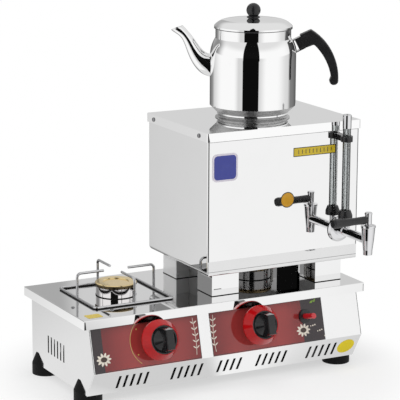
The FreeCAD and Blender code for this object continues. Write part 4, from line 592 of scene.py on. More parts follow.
class Steel(Choice):
    """Sheet and machined metals of the urn."""

    CASING = Metal("casing steel", (0.88, 0.88, 0.88), (0.84, 0.84, 0.84), gloss=0.08,
                   spread=0.04, wave_depth=0.0010)
    # painted shade: a dark copy of the casing steel for the bottom plate inside the casing
    INNER = Metal("shaded bottom steel", (0.20, 0.20, 0.20), (0.14, 0.14, 0.14), gloss=0.30,
                  spread=0.08, wave_depth=0.0009)
    MIRROR = Metal("mirror steel", (0.88, 0.88, 0.88), (0.85, 0.85, 0.85), gloss=0.02,
                   spread=0.015, wave_depth=0.0004)
    # painted light: a lighter copy of the boiler steel for the lid
    LID = Metal("lit lid steel", (0.96, 0.96, 0.96), (0.93, 0.93, 0.93), gloss=0.03,
                spread=0.02, wave_depth=0.0004)
    # painted shade: a darker copy of the casing steel for the side panels
    SIDE = Metal("shaded side panel steel", (0.73, 0.73, 0.73), (0.70, 0.70, 0.70), gloss=0.07,
                 spread=0.03, wave_depth=0.0009)
    # flame blackening and painted shade: the boiler's underside round the burner is near black
    BOILER = Metal("boiler steel", (0.88, 0.88, 0.88), (0.85, 0.85, 0.85), gloss=0.02,
                   spread=0.015, wave_depth=0.0004, blackening_and_shade=BlackeningAndShade())
    # painted shade: a darker copy of the boiler steel for the band above its lower edge
    BAND = Metal("shaded steel band", (0.76, 0.76, 0.76), (0.70, 0.70, 0.70), gloss=0.06,
                 spread=0.03, wave_depth=0.0003)
    # painted shade: the teapot's lower faces that lean down are greyed
    TEAPOT = Metal("teapot steel", (0.95, 0.95, 0.95), (0.91, 0.91, 0.91), gloss=0.02,
                   spread=0.015, wave_depth=0.0003,
                   blackening_and_shade=BlackeningAndShade(lean=-0.35, top=479.0, reach=300.0, middle=(115.0, 35.6),
                             amount=0.6, tint=(0.30, 0.30, 0.30), dulling=0.50))
    # painted shade: a darker, duller copy of the teapot steel for the collar under the teapot
    COLLAR = Metal("shaded collar steel", (0.58, 0.58, 0.58), (0.46, 0.46, 0.46), gloss=0.26,
                   spread=0.05, wave_depth=0.0003)
    # painted light: a pale, nearly matt copy of the legs' mirror steel for the rear-left leg under
    # the boiler
    LEG = Metal("lit leg steel", (0.96, 0.96, 0.96), (0.92, 0.92, 0.92), gloss=0.12,
                spread=0.03, wave_depth=0.0004, bare=0.10)
    SCREW = Metal("screw steel", (0.34, 0.34, 0.35), (0.16, 0.16, 0.16), gloss=0.16, spread=0.1)
    CHROME = Metal("tap chrome", (0.76, 0.76, 0.77), (0.66, 0.66, 0.67), gloss=0.02,
                   spread=0.015, wave_depth=0.0002)
    CUP = Metal("burner chrome", (0.86, 0.84, 0.84), (0.74, 0.70, 0.68), gloss=0.03,
                spread=0.03, wave_depth=0.0003)
    # painted shade: a dark copy of the burner chrome for the right burner under the boiler,
    # darkened further all over
    SHADED_CUP = Metal("shaded burner chrome", (0.50, 0.49, 0.49), (0.40, 0.38, 0.37),
                       gloss=0.08, spread=0.04, wave_depth=0.0003,
                       blackening_and_shade=BlackeningAndShade(lean=2.0, top=300.0, amount=0.72, tint=(0.05, 0.05, 0.05),
                                 dulling=0.14))
    # painted shade: the pot support's faces that lean down are darkened
    WIRE = Metal("wire chrome", (0.66, 0.66, 0.67), (0.50, 0.50, 0.51), gloss=0.03, spread=0.03,
                 blackening_and_shade=BlackeningAndShade(lean=-0.05, top=300.0, reach=900.0, amount=0.92))
    BRASS = Metal("turned brass", (0.90, 0.74, 0.42), (0.78, 0.60, 0.32), gloss=0.20, spread=0.1,
                  grain=0.0003, handled=0.5)
    # the caps' sides and undersides are darkened to dark brown, the tops stay brass
    CAP = Metal("burner cap brass", (0.90, 0.71, 0.37), (0.76, 0.57, 0.29), gloss=0.22,
                spread=0.1, grain=0.0003, handled=0.5,
                blackening_and_shade=BlackeningAndShade(lean=0.35, top=300.0, reach=900.0, amount=0.90,
                          tint=(0.050, 0.035, 0.022), dulling=0.2))
    CAST = Metal("cast tube", (0.30, 0.30, 0.31), (0.20, 0.19, 0.18), gloss=0.5, spread=0.2,
                 wave_depth=0.0015)


class Plastic(Choice):
    """Moulded materials of the urn."""

    BLACK = Moulded("black plastic", (0.012, 0.012, 0.013), (0.030, 0.030, 0.032), gloss=0.28,
                    spread=0.12)
    GRIP = Moulded("glossy black", (0.012, 0.012, 0.013), (0.024, 0.024, 0.025), gloss=0.12,
                   spread=0.04, shine=0.3, lacquer=0.3)
    RED = Moulded("glossy red", (0.44, 0.004, 0.006), (0.35, 0.004, 0.006), gloss=0.12,
                  spread=0.05, shine=0.25, lacquer=0.2, back=(0.006, 0.005, 0.005))
    BUTTON = Moulded("button red", (0.55, 0.012, 0.020), (0.42, 0.010, 0.014), gloss=0.16,
                     spread=0.06, lacquer=0.8)
    # also the thin rings of painted contact shadow round the feet of the burners and legs
    RUBBER_AND_SHADOW = Moulded("black rubber and painted contact shadow", (0.005, 0.005, 0.005), (0.012, 0.012, 0.013), gloss=0.60,
                     spread=0.15, skin=0.0009, shine=0.15)
    CERAMIC = Moulded("fired ceramic", (0.74, 0.73, 0.70), (0.60, 0.58, 0.54), gloss=0.25)


class Print(Choice):
    """Inks, sticker films and the printed plates."""

    GOLD = Ink("gold ink", (0.62, 0.44, 0.12), (0.50, 0.35, 0.10))
    CREAM = Ink("cream ink", (0.78, 0.72, 0.62), (0.66, 0.60, 0.52))
    YELLOW = Ink("yellow film", (0.64, 0.47, 0.006), (0.58, 0.42, 0.010))
    BRIGHT = Ink("bright yellow film", (0.86, 0.68, 0.0), (0.78, 0.62, 0.004), gloss=0.6,
                 lacquer=0.0)
    AMBER = Ink("amber film", (0.60, 0.30, 0.006), (0.52, 0.26, 0.010))
    # also painted shade in the corner gaps of the cooktop and lid, and painted reflections on the
    # gauge glass
    BLACK = Ink("black ink, painted shade and reflection", (0.015, 0.015, 0.015), (0.035, 0.035, 0.035))
    BLUE = Ink("blue enamel", (0.022, 0.034, 0.28), (0.034, 0.048, 0.30), gloss=0.2)
    LINE = Ink("edge shadow", (0.035, 0.035, 0.036), (0.060, 0.060, 0.062), gloss=0.5)
    SOFT_LINE = Ink("soft edge shadow", (0.16, 0.16, 0.165), (0.22, 0.22, 0.225), gloss=0.5)
    GREEN = Ink("green ink", (0.20, 0.36, 0.03), (0.17, 0.30, 0.03))
    COFFEE = Ink("brown ink", (0.040, 0.020, 0.012), (0.060, 0.032, 0.020))
    PALE = Ink("pale border", (0.70, 0.66, 0.74), (0.60, 0.56, 0.64))
    LEFT_PLATE = PrintedFace("left control print", -265.6, -246.7, -150.0)
    RIGHT_PLATE = PrintedFace("right control print", 147.8, 191.6, 60.0)


class Glass(Choice):
    """Clear materials of the urn."""

    TUBE = SightGlass("sight glass")


class Mount(Enum):
    """Body that a new piece rides on, with its material slot of the record."""

    PLATE = ("base", "printed_plate")
    CASING = ("base", "casing_steel")
    STEEL = ("base", "mirror_steel")
    SHADOW_RING = ("base", "rubber")
    FASTENER = ("base", "screw_steel")
    GAUGE = ("base", "sight_glass")
    HANDLE = ("teapot", "black_plastic")
    COVER = ("cover", "teapot_steel")


@dataclass(frozen=True)
class Face:
    """A flat place on the urn that thin pieces are laid on."""

    origin: Point
    across: Point = (1.0, 0.0, 0.0)
    up: Point = (0.0, 0.0, 1.0)

    def point(self, u: float, v: float, lift: float) -> Vector:
        """Give the point that lies this far across, up and off the face."""
        across, up = Vector(self.across), Vector(self.up)
        return Vector(self.origin) + across * u + up * v + across.cross(up) * lift


CONTROL_FACE = Face((0.0, -92.909, 107.137), up=(0.0, 0.26387, 0.96456))
BOILER_FRONT = Face((0.0, -71.9, 0.0))
BAND_FRONT = Face((0.0, -72.9, 0.0))
LID_LIP = Face((0.0, -74.4, 0.0))
DECK_LIP = Face((0.0, -91.2, 0.0))
DECK = Face((0.0, 0.0, 157.1), up=(0.0, 1.0, 0.0))
SKIRT = Face((0.0, -104.6, 64.4), up=(0.0, -0.526, 0.8504))
SHADOW_RING_FOOT = 157.12


def arc(centre: Pair, radius: float, start: float, end: float, steps: int = 24) -> Outline:
    """Give points on an arc.

    Args:
        centre: Centre of the arc.
        radius: Its radius.
        start: First angle in degrees.
        end: Last angle in degrees.
        steps: Number of chords.

    Returns:
        The points in order.
    """
    angles = [math.radians(start + (end - start) * step / steps) for step in range(steps + 1)]
    return [(centre[0] + radius * math.cos(angle), centre[1] + radius * math.sin(angle))
            for angle in angles]


def disc(centre: Pair, radius: float, corners: int = 48) -> Outline:
    """Give a round outline with this many corners."""
    return arc(centre, radius, 0.0, 360.0 - 360.0 / corners, corners - 1)


def ribbon(line: Outline, width: float) -> Outline:
    """Give a line a width.

    Args:
        line: Points along the middle.
        width: Full width.

    Returns:
        A closed outline.
    """
    left, right = [], []
    for index, (x, y) in enumerate(line):
        before = line[max(index - 1, 0)]
        after = line[min(index + 1, len(line) - 1)]
        along = Vector((after[0] - before[0], after[1] - before[1])).normalized()
        left.append((x - along.y * width / 2, y + along.x * width / 2))
        right.append((x + along.y * width / 2, y - along.x * width / 2))
    return left + right[::-1]


def round_box(low: Pair, high: Pair, corner: float = 0.1) -> Outline:
    """Give a rectangle with round corners.

    Args:
        low: Lower left corner.
        high: Upper right corner.
        corner: Radius of the corners.

    Returns:
        A closed outline.
    """
    left, right = low[0] + corner, high[0] - corner
    bottom, top = low[1] + corner, high[1] - corner
    outline: Outline = []
    for turn, centre in enumerate(((right, top), (left, top), (left, bottom), (right, bottom))):
        outline += arc(centre, corner, 90 * turn, 90 * turn + 90, 6)
    return outline


def leaf(centre: Pair, turn: float, length: float, width: float) -> Outline:
    """Give a pointed leaf.

    Args:
        centre: Its middle.
        turn: Its direction in degrees.
        length: Its length.
        width: Its greatest width.

    Returns:
        A closed outline.
    """
    steps, narrowing = 16, 0.35
    along = (math.cos(math.radians(turn)), math.sin(math.radians(turn)))
    outline = []
    for step in range(steps):
        phase = math.tau * step / steps
        reach = length / 2 * math.cos(phase)
        side = width / 2 * math.sin(phase) * (1.0 - narrowing * math.cos(phase) ** 2)
        outline.append((centre[0] + reach * along[0] - side * along[1],
                        centre[1] + reach * along[1] + side * along[0]))
    return outline


def ring(shape: BMesh, points: Sequence[Vector | Point]) -> list[bmesh.types.BMVert]:
    """Add points in millimetres to a mesh and give its new vertices in order."""
    return [shape.verts.new(Vector(point) * MM) for point in points]


def bridge(shape: BMesh, rings: list[list[bmesh.types.BMVert]], around: bool = False) -> None:
    """Join closed rings of equal size by strips of four-sided faces.

    Args:
        shape: Mesh that takes the faces.
        rings: The rings in order.
        around: Whether the last ring joins the first; if not, both get a flat end.
    """
    for first, second in zip(rings, rings[1:] + rings[:1] if around else rings[1:]):
        for index in range(len(first)):
            follow = (index + 1) % len(first)
            shape.faces.new((first[index], first[follow], second[follow], second[index]))
    if not around:
        shape.faces.new(rings[-1])
        shape.faces.new(rings[0][::-1])


def ride(piece: bpy.types.Object, mount: Mount) -> None:
    """Fix a new piece to its body of the frame.

    Args:
        piece: The new object.
        mount: Its body and slot.
    """
    body, slot = mount.value
    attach(piece, body)
    log.info("piece %s on %s", piece.name, body)


def link(name: str, data: bpy.types.ID) -> bpy.types.Object:
    """Put a mesh, lamp or camera into the scene.

    Args:
        name: Name of the object.
        data: Its data.

    Returns:
        The new object.
    """
    made = bpy.data.objects.new(name, data)
    bpy.context.scene.collection.objects.link(made)
    return made


def mesh_piece(name: str, shape: BMesh, finish: Choice, mount: Mount,
               smooth: bool = True) -> None:
    """Turn a finished mesh into a piece of the urn.

    Args:
        name: Name of the piece.
        shape: The mesh, which is freed.
        finish: Its finish.
        mount: Its body and slot.
        smooth: Whether its faces are shaded smooth.
    """
    bmesh.ops.recalc_face_normals(shape, faces=shape.faces)
    data = bpy.data.meshes.new(name)
    shape.to_mesh(data)
    shape.free()
    data.materials.append(finish.value.material())
    if smooth:
        data.shade_smooth()
        data.set_sharp_from_angle(angle=math.radians(SHARP_ANGLE))
    ride(link(name, data), mount)


def lay(name: str, face: Face, outlines: Sequence[Outline], finish: Print,
        mount: Mount = Mount.PLATE, lift: float = INK_LIFT, wall: float = FILM_WALL) -> None:
    """Lay thin flat shapes on a face, such as ink, film or a sticker.

    Args:
        name: Name of the piece.
        face: Face that carries it.
        outlines: Closed outlines on the face.
        finish: Its finish.
        mount: Its body and slot.
        lift: Height of its underside off the face.
        wall: Its thickness.
    """
    shape = bmesh.new()
    for outline in outlines:
        bridge(shape, [ring(shape, [face.point(u, v, height) for u, v in outline])
                       for height in (lift, lift + wall)])
    mesh_piece(name, shape, finish, mount, smooth=False)


def print_on_plate(name: str, outlines: Sequence[Outline], finish: Print,
                   lift: float = INK_LIFT) -> None:
    """Print outlines of the control face in ink on its plates."""
    lay(name, CONTROL_FACE, outlines, finish, lift=PLATE_WALL + lift, wall=INK_WALL)


def lathe(name: str, axis: Pair, profile: Outline, finish: Choice, mount: Mount) -> None:
    """Turn a closed profile about an upright axis.

    Args:
        name: Name of the piece.
        axis: Place of the axis in plan.
        profile: Radius and height of each corner, in order.
        finish: Its finish.
        mount: Its body and slot.
    """
    shape, steps = bmesh.new(), 96
    turns = [(math.cos(math.tau * step / steps), math.sin(math.tau * step / steps))
             for step in range(steps)]
    rings = [ring(shape, [(axis[0] + radius * x, axis[1] + radius * y, height)
                          for radius, height in profile]) for x, y in turns]
    bridge(shape, rings, around=True)
    mesh_piece(name, shape, finish, mount)


def softened(name: str, node: str, finish: Choice, mount: Mount, voxel: float,
             rounds: int) -> None:
    """Make a moulded piece from a solid of the frame, with its edges rounded, in its place.

    Args:
        name: Name of the piece.
        node: Solid that it replaces.
        finish: Its finish.
        mount: Its body and slot.
        voxel: Size of its mesh in metres.
        rounds: Rounds of smoothing.
    """
    rough = link(name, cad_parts[node].data.copy())
    remesh = rough.modifiers.new("remesh", "REMESH")
    remesh.mode = "VOXEL"
    remesh.voxel_size = voxel
    smooth = rough.modifiers.new("smooth", "SMOOTH")
    smooth.factor = 0.5
    smooth.iterations = rounds
    graph = bpy.context.evaluated_depsgraph_get()
    data = bpy.data.meshes.new_from_object(rough.evaluated_get(graph))
    rough.modifiers.clear()
    rough.data = data
    data.name = name
    data.materials.clear()
    data.materials.append(finish.value.material())
    data.shade_smooth()
    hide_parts(node)
    ride(rough, mount)


@dataclass
class Studio:
    """Plain pale room: camera, floor, lamps and the tones that metal mirrors.

    A bearing is in degrees from the direction ahead, positive to the right. A band is its low
    and high bearing and the tone at each.
    """

    camera_at: Point = (-1637.3, -3034.3, 1095.8)
    looks_at: Point = (24.9, 65.5, 305.0)
    roll: float = 0.29
    lens: float = 179.3
    sensor: float = 36.0
    floor_size: float = 14.0
    floor_grey: Step = (0.86, 0.86, 0.86, 1.0)
    room_light: float = 0.62
    ceiling_tone: float = 0.78
    ceiling_rise: Pair = (0.30, 0.62)
    wall_rise: Pair = (0.0, 0.06)
    floor_fade: Step = (0.30, 0.43, 0.58, 1.0)
    gap_from_to: Point = (-27.0, 15.0, 1.5)
    gap_starts: Step = (0.42, 0.50, 0.0, 1.0)
    gap_tone: float = 0.006
    ahead: Point = (-0.472, -0.881, 0.0)
    aside: Point = (0.881, -0.472, 0.0)
    near_right: Step = (14.0, 38.0, 0.70, 1.0)
    near_left: Step = (26.0, 54.0, 0.42, 1.0)
    low_right: tuple[Step, ...] = (
        (66.0, 104.0, 1.0, 0.72), (104.0, 120.0, 1.0, 0.3), (120.0, 170.0, 1.0, 0.4))
    low_left: tuple[Step, ...] = (
        (92.0, 135.0, 1.0, 0.66), (125.0, 141.0, 1.0, 0.42), (141.0, 160.0, 1.0, 0.5))
    low_behind: Step = (166.0, 173.0, 0.0, 0.5)
    high_right: tuple[Step, ...] = ((85.0, 160.0, 1.0, 0.66),)
    high_left: tuple[Step, ...] = (
        (85.0, 120.0, 1.0, 0.27), (132.0, 166.0, 1.0, 1.60), (175.8, 176.6, 1.0, 1.53))
    lamps_aim: Point = (0.0, 0.0, 0.3)
    lamps: tuple[tuple[str, Point, float, float], ...] = (
        ("overhead softbox", (-0.3, -0.4, 2.7), 1.8, 22.0),
        ("left softbox", (-2.4, -1.0, 1.6), 1.4, 12.0),
        ("right softbox", (2.2, -1.8, 1.5), 1.4, 10.0))

    def build(self) -> None:
        """Make the whole studio."""
        self.make_camera()
        self.make_world()
        self.make_floor()
        for name, at, size, power in self.lamps:
            self.make_lamp(name, at, size, power)

    def make_camera(self) -> None:
        """Place the camera at the photograph's viewpoint."""
        data = bpy.data.cameras.new("camera")
        data.sensor_width = self.sensor
        data.lens = self.lens
        camera = link("camera", data)
        here = Vector(self.camera_at) * MM
        line = Vector(self.looks_at) * MM - here
        camera.location = here
        camera.rotation_euler = line.to_track_quat("-Z", "Y").to_matrix().to_4x4().to_euler()
        camera.rotation_euler.rotate_axis("Z", math.radians(self.roll))
        bpy.context.scene.camera = camera

    def bearing(self, graph: Graph, direction: Socket) -> tuple[Socket, Socket]:
        """Give the bearing and the rise of a direction.

        Args:
            graph: Graph of the world or of the floor.
            direction: Socket with the direction from the urn.

        Returns:
            Sockets with the bearing in degrees and with the rise.
        """
        level = graph.feed(graph.add("VectorMath", operation="NORMALIZE"),
                           Vector=direction).outputs["Vector"]
        turn = graph.maths("ARCTAN2", graph.dot(level, self.aside), graph.dot(level, self.ahead))
        return graph.maths("DEGREES", turn), graph.split(level)["Z"]

    def low_tone(self, graph: Graph, turn: Socket) -> Socket:
        """Give the grey of the floor and the lower walls, as polished metal sees it.

        Args:
            graph: Graph of the world or of the floor.
            turn: Socket with the bearing.

        Returns:
            A socket with the grey level.
        """
        left = graph.product(turn, -1.0)
        near = graph.maths("MAXIMUM", graph.band(turn, *self.near_right),
                           graph.band(left, *self.near_left))
        sides = [graph.band(side, *step) for side, steps in
                 ((turn, self.low_right), (left, self.low_left)) for step in steps]
        behind = graph.band(graph.maths("ABSOLUTE", turn), *self.low_behind)
        return graph.maths("MAXIMUM", behind, graph.product(near, *sides))

    def high_tone(self, graph: Graph, turn: Socket, rise: Socket) -> Socket:
        """Give the grey of the walls above the table and of the ceiling.

        Args:
            graph: Graph of the world.
            turn: Socket with the bearing.
            rise: Socket with the rise.

        Returns:
            A socket with the grey level.
        """
        left = graph.product(turn, -1.0)
        first, *others = [graph.band(side, *step) for side, steps in
                          ((turn, self.high_right), (left, self.high_left)) for step in steps]
        return graph.between(graph.band(rise, *self.ceiling_rise),
                             graph.product(first, *others), self.ceiling_tone)

    def gap(self, graph: Graph, turn: Socket) -> Socket:
        """Mark the dark gap in the room's front, which cylinders mirror as a black stripe.

        Args:
            graph: Graph of the world or of the floor.
            turn: Socket with the bearing.

        Returns:
            A socket that is 1 in the gap.
        """
        start, end, soft = self.gap_from_to
        return graph.product(graph.band(turn, start - soft, start),
                             graph.band(turn, end, end + soft, 1.0, 0.0))

    def mirrored(self, graph: Graph, rays: bpy.types.NodeOutputs) -> Socket:
        """Mark with 1 the rays that come from polished metal or through glass."""
        return graph.maths("MAXIMUM", rays["Is Glossy Ray"], rays["Is Transmission Ray"])

    def make_world(self) -> None:
        """Make the room: white to the eye, greyer behind the urn for what its metal mirrors."""
        world = bpy.data.worlds.new("room")
        bpy.context.scene.world = world
        world.use_nodes = True
        graph = Graph(world.node_tree)
        rays = graph.add("LightPath").outputs
        turn, rise = self.bearing(graph, graph.add("TexCoord").outputs["Generated"])
        tone = graph.between(graph.band(rise, *self.wall_rise), self.low_tone(graph, turn),
                             self.high_tone(graph, turn, rise))
        open_gap = graph.band(self.gap(graph, turn), 0.0, 1.0, 1.0, self.gap_tone)
        level = graph.between(self.mirrored(graph, rays), self.room_light,
                              graph.product(tone, open_gap))
        seen = graph.between(rays["Is Camera Ray"], level, 1.0)
        sky = graph.feed(graph.add("Background"), Color=WHITE, Strength=seen)
        graph.feed(graph.add("OutputWorld"), Surface=sky.outputs[0])

    def make_floor(self) -> None:
        """Make the pale floor that keeps the urn's soft shadow."""
        shape = bmesh.new()
        bmesh.ops.create_grid(shape, x_segments=1, y_segments=1, size=self.floor_size / 2)
        data = bpy.data.meshes.new("floor")
        shape.to_mesh(data)
        shape.free()
        floor = link("floor", data)
        material = bpy.data.materials.new("studio floor")
        material.use_nodes = True
        graph = Graph(material.node_tree)
        lit = graph.feed(graph.add("BsdfDiffuse"), Color=self.floor_grey)
        direction = graph.place()
        rays = graph.add("LightPath").outputs
        length = graph.add("VectorMath", operation="LENGTH")
        graph.plug(length.inputs[0], direction)
        away = length.outputs["Value"]
        turn = self.bearing(graph, direction)[0]
        dark = graph.product(self.gap(graph, turn), graph.band(away, *self.gap_starts))
        tone = graph.product(self.low_tone(graph, turn),
                             graph.band(dark, 0.0, 1.0, 1.0, self.gap_tone))
        glow = graph.feed(graph.add("Emission"), Color=WHITE,
                          Strength=graph.between(rays["Is Camera Ray"], tone, 1.0))
        to_eye = graph.product(rays["Is Camera Ray"], graph.band(away, *self.floor_fade))
        blend = graph.add("MixShader")
        parts = (graph.maths("MAXIMUM", to_eye, self.mirrored(graph, rays)), lit.outputs[0],
                 glow.outputs[0])
        for socket, part in zip(blend.inputs, parts):
            graph.plug(socket, part)
        graph.feed(graph.add("OutputMaterial"), Surface=blend.outputs[0])
        data.materials.append(material)

    def make_lamp(self, name: str, at: Point, size: float, power: float) -> None:
        """Add one soft lamp that points at the urn.

        Args:
            name: Name of the lamp.
            at: Its place.
            size: Side of its square face.
            power: Power in watts.
        """
        data = bpy.data.lights.new(name, "AREA")
        data.shape = "SQUARE"
        data.size = size
        data.energy = power
        lamp = link(name, data)
        lamp.location = at
        aim = Vector(self.lamps_aim) - Vector(at)
        lamp.rotation_euler = aim.to_track_quat("-Z", "Y").to_euler()
        lamp.visible_camera = False
        lamp.visible_glossy = False


@dataclass
class StoveBase:
    """Folded stove base with its printed control plates, stickers and feet."""

    plate_ends: tuple[Pair, ...] = ((-265.5, -60.6), (-37.3, 191.5))
    plate_rise: Pair = (-42.8, 33.1)
    line: float = 0.9
    seams: tuple[tuple[Pair, Pair], ...] = (
        ((-267.9, -43.6), (-266.9, 34.2)), ((-266.5, 33.3), (266.5, 34.3)),
        ((266.9, -43.6), (267.9, 34.2)))
    corner_gap: tuple[Pair, ...] = (
        (-279.5, 141.2), (-275.9, 141.2), (-276.6, 149.0), (-277.4, 155.2), (-279.2, 155.2))
    sprigs: tuple[tuple[str, float, float], ...] = (("left", -70.0, 1.0), ("right", -31.5, -1.0))
    stem_sway: float = 1.6
    stem_bend: float = 0.32
    stem_foot: float = -36.0
    stem_rise: float = 5.4
    stem_leaf: Pair = (7.2, 2.1)
    stem_leaf_off: Pair = (3.2, 2.6)
    stem_leaf_turn: float = 52.0
    rosettes: tuple[tuple[str, Pair], ...] = (
        ("left", (-247.0, -21.0)), ("right", (148.0, -21.5)))
    petal_ring: Pair = (8.6, 6.6)
    petal: Pair = (11.0, 4.6)
    heart: Pair = (6.0, 4.4)
    leaves: tuple[tuple[Pair, float, float, float], ...] = (
        ((171.0, 27.0), 25.0, 9.0, 3.6), ((177.5, 29.0), 60.0, 8.0, 3.2))
    dots_at: Pair = (164.0, -16.0)
    scale_middle: Pair = (-147.6, 0.0)
    scale_radius: float = 47.0
    scale_span: Pair = (130.0, 232.0)
    scale_dots: Pair = (145.0, 212.0)
    scale_dot_ring: Pair = (40.0, 40.0)
    scale_dot_radius: float = 1.3
    skirt_sticker: tuple[Pair, float] = ((243.6, -26.9), 17.3)
    deck_sticker: tuple[Pair, Pair, float] = ((-266.0, -80.0), (-238.0, -58.0), 3.0)

    def build(self) -> None:
        """Finish the base's solids and lay its prints."""
        Steel.CASING.cover("front_panel", "back_panel")
        Steel.INNER.cover("bottom_plate")
        Steel.SIDE.cover("side_panel_left", "side_panel_right")
        Steel.MIRROR.cover("cooktop")
        Print.LEFT_PLATE.cover("control_plate_left")
        Print.RIGHT_PLATE.cover("control_plate_right")
        Plastic.RUBBER_AND_SHADOW.cover("rubber_feet")
        Steel.SCREW.cover("casing_screws", "gas_rail")
        self.lay_scale()
        lay("skirt_sticker", SKIRT, [disc(*self.skirt_sticker)], Print.BRIGHT)
        lay("cooktop_sticker", DECK, [round_box(*self.deck_sticker)], Print.YELLOW)
        self.lay_motifs()
        self.lay_shade_lines()

    def lay_shade_lines(self) -> None:
        """Draw the dark edges of the plates, and painted shade in the gaps of the folded casing
        and in the cooktop's corner gap.
        """
        low, high = self.plate_rise
        frames = []
        for start, end in self.plate_ends:
            frames += [round_box((start, low), (end, low + self.line)),
                       round_box((start, high - self.line), (end, high)),
                       round_box((start, low), (start + self.line, high)),
                       round_box((end - self.line, low), (end, high))]
        print_on_plate("plate_edges", frames, Print.LINE, LINE_LIFT)
        lay("casing_seams", CONTROL_FACE, [round_box(*seam) for seam in self.seams],
            Print.LINE, Mount.CASING, LINE_LIFT, INK_WALL)
        lay("cooktop_corner_gap_shade", DECK_LIP, [self.corner_gap], Print.BLACK, Mount.STEEL,
            LINE_LIFT, INK_WALL)

    def lay_motifs(self) -> None:
        """Print the plain ornaments: two sprigs, two rosettes, a pair of leaves and dots."""
        for side, x, flip in self.sprigs:
            print_on_plate(f"sprig_{side}", self.sprig(x, flip), Print.CREAM)
        for side, centre in self.rosettes:
            petals = [leaf(self.oval(centre, self.petal_ring, turn), turn, *self.petal)
                      for turn in range(0, 360, 36)]
            print_on_plate(f"rosette_petals_{side}", petals, Print.CREAM)
            heart = [self.oval(centre, self.heart, turn) for turn in range(0, 360, 15)]
            print_on_plate(f"rosette_heart_{side}", [heart], Print.COFFEE, 0.12)
        print_on_plate("leaf_pair", [leaf(*shape) for shape in self.leaves], Print.GREEN)
        left, top = self.dots_at
        dots = [disc((left + 2.9 * step + 1.7 * (step % 3), top - 2.6 * step + 3.1 * (step % 4)),
                     1.1 + 0.3 * (step % 2), 12) for step in range(9)]
        print_on_plate("plate_dots", dots, Print.CREAM)

    def oval(self, centre: Pair, reach: Pair, turn: float) -> Pair:
        """Give the point of an oval at an angle in degrees; the reach is half its size."""
        return (centre[0] + reach[0] * math.cos(math.radians(turn)),
                centre[1] + reach[1] * math.sin(math.radians(turn)))

    def sprig(self, x: float, flip: float) -> list[Outline]:
        """Give an upright sprig: a thin stem with paired leaves.

        Args:
            x: Its place across the face.
            flip: 1, or -1 to bend it the other way.

        Returns:
            Closed outlines.
        """
        stem = [(x + flip * self.stem_sway * math.sin(step * self.stem_bend),
                 self.stem_foot + self.stem_rise * step) for step in range(13)]
        shapes = [ribbon(stem, self.line)]
        across, up = self.stem_leaf_off
        for foot in stem[2:12:2]:
            for side in (-1.0, 1.0):
                shapes.append(leaf((foot[0] + side * across, foot[1] + up),
                                   90.0 - side * self.stem_leaf_turn, *self.stem_leaf))
        return shapes

    def lay_scale(self) -> None:
        """Print a thin gold scale at the left of the left knob, with two plain dots."""
        line = arc(self.scale_middle, self.scale_radius, *self.scale_span, 40)
        shapes = [ribbon(line, self.line)]
        for angle in self.scale_dots:
            spot = self.oval(self.scale_middle, self.scale_dot_ring, angle)
            shapes.append(disc(spot, self.scale_dot_radius, 12))
        print_on_plate("knob_scale_left", shapes, Print.GOLD)


@dataclass
class Burners:
    """The two burners, their gas parts and the wire support."""

    places: tuple[tuple[str, Pair], ...] = (("left", (-156.0, 42.1)), ("right", (120.2, 42.1)))
    foot_shadow: tuple[Pair, ...] = ((35.55, SHADOW_RING_FOOT), (36.2, SHADOW_RING_FOOT), (36.2, 158.3), (35.55, 158.4))

    def build(self) -> None:
        """Finish the burners' solids and set a thin ring of painted contact shadow round each
        burner's foot.
        """
        Steel.CAP.cover("burner_cap_left", "burner_cap_right")
        Steel.BRASS.cover("valve_left", "valve_right", "gas_jets", "gas_inlet")
        Steel.CUP.cover("burner_cup_left")
        Steel.SHADED_CUP.cover("burner_cup_right")
        Steel.WIRE.cover("pot_support")
        Steel.CAST.cover("mixing_tube_left", "mixing_tube_right")
        Plastic.CERAMIC.cover("electrode")
        for side, axis in self.places:
            lathe(f"burner_foot_shadow_{side}", axis, self.foot_shadow, Plastic.RUBBER_AND_SHADOW, Mount.SHADOW_RING)


class Controls:
    """Gas knobs and the igniter."""

    def build(self) -> None:
        """Finish the knobs and the igniter."""
        Plastic.RED.cover("dial_left", "dial_right")
        Plastic.BUTTON.cover("igniter_button")
        Plastic.GRIP.cover("grip_left", "grip_right")
        Plastic.BLACK.cover("igniter_bezel", "igniter_body")
        Steel.SCREW.cover("spindle_left", "spindle_right", "knob_washer_left",
                          "knob_washer_right")


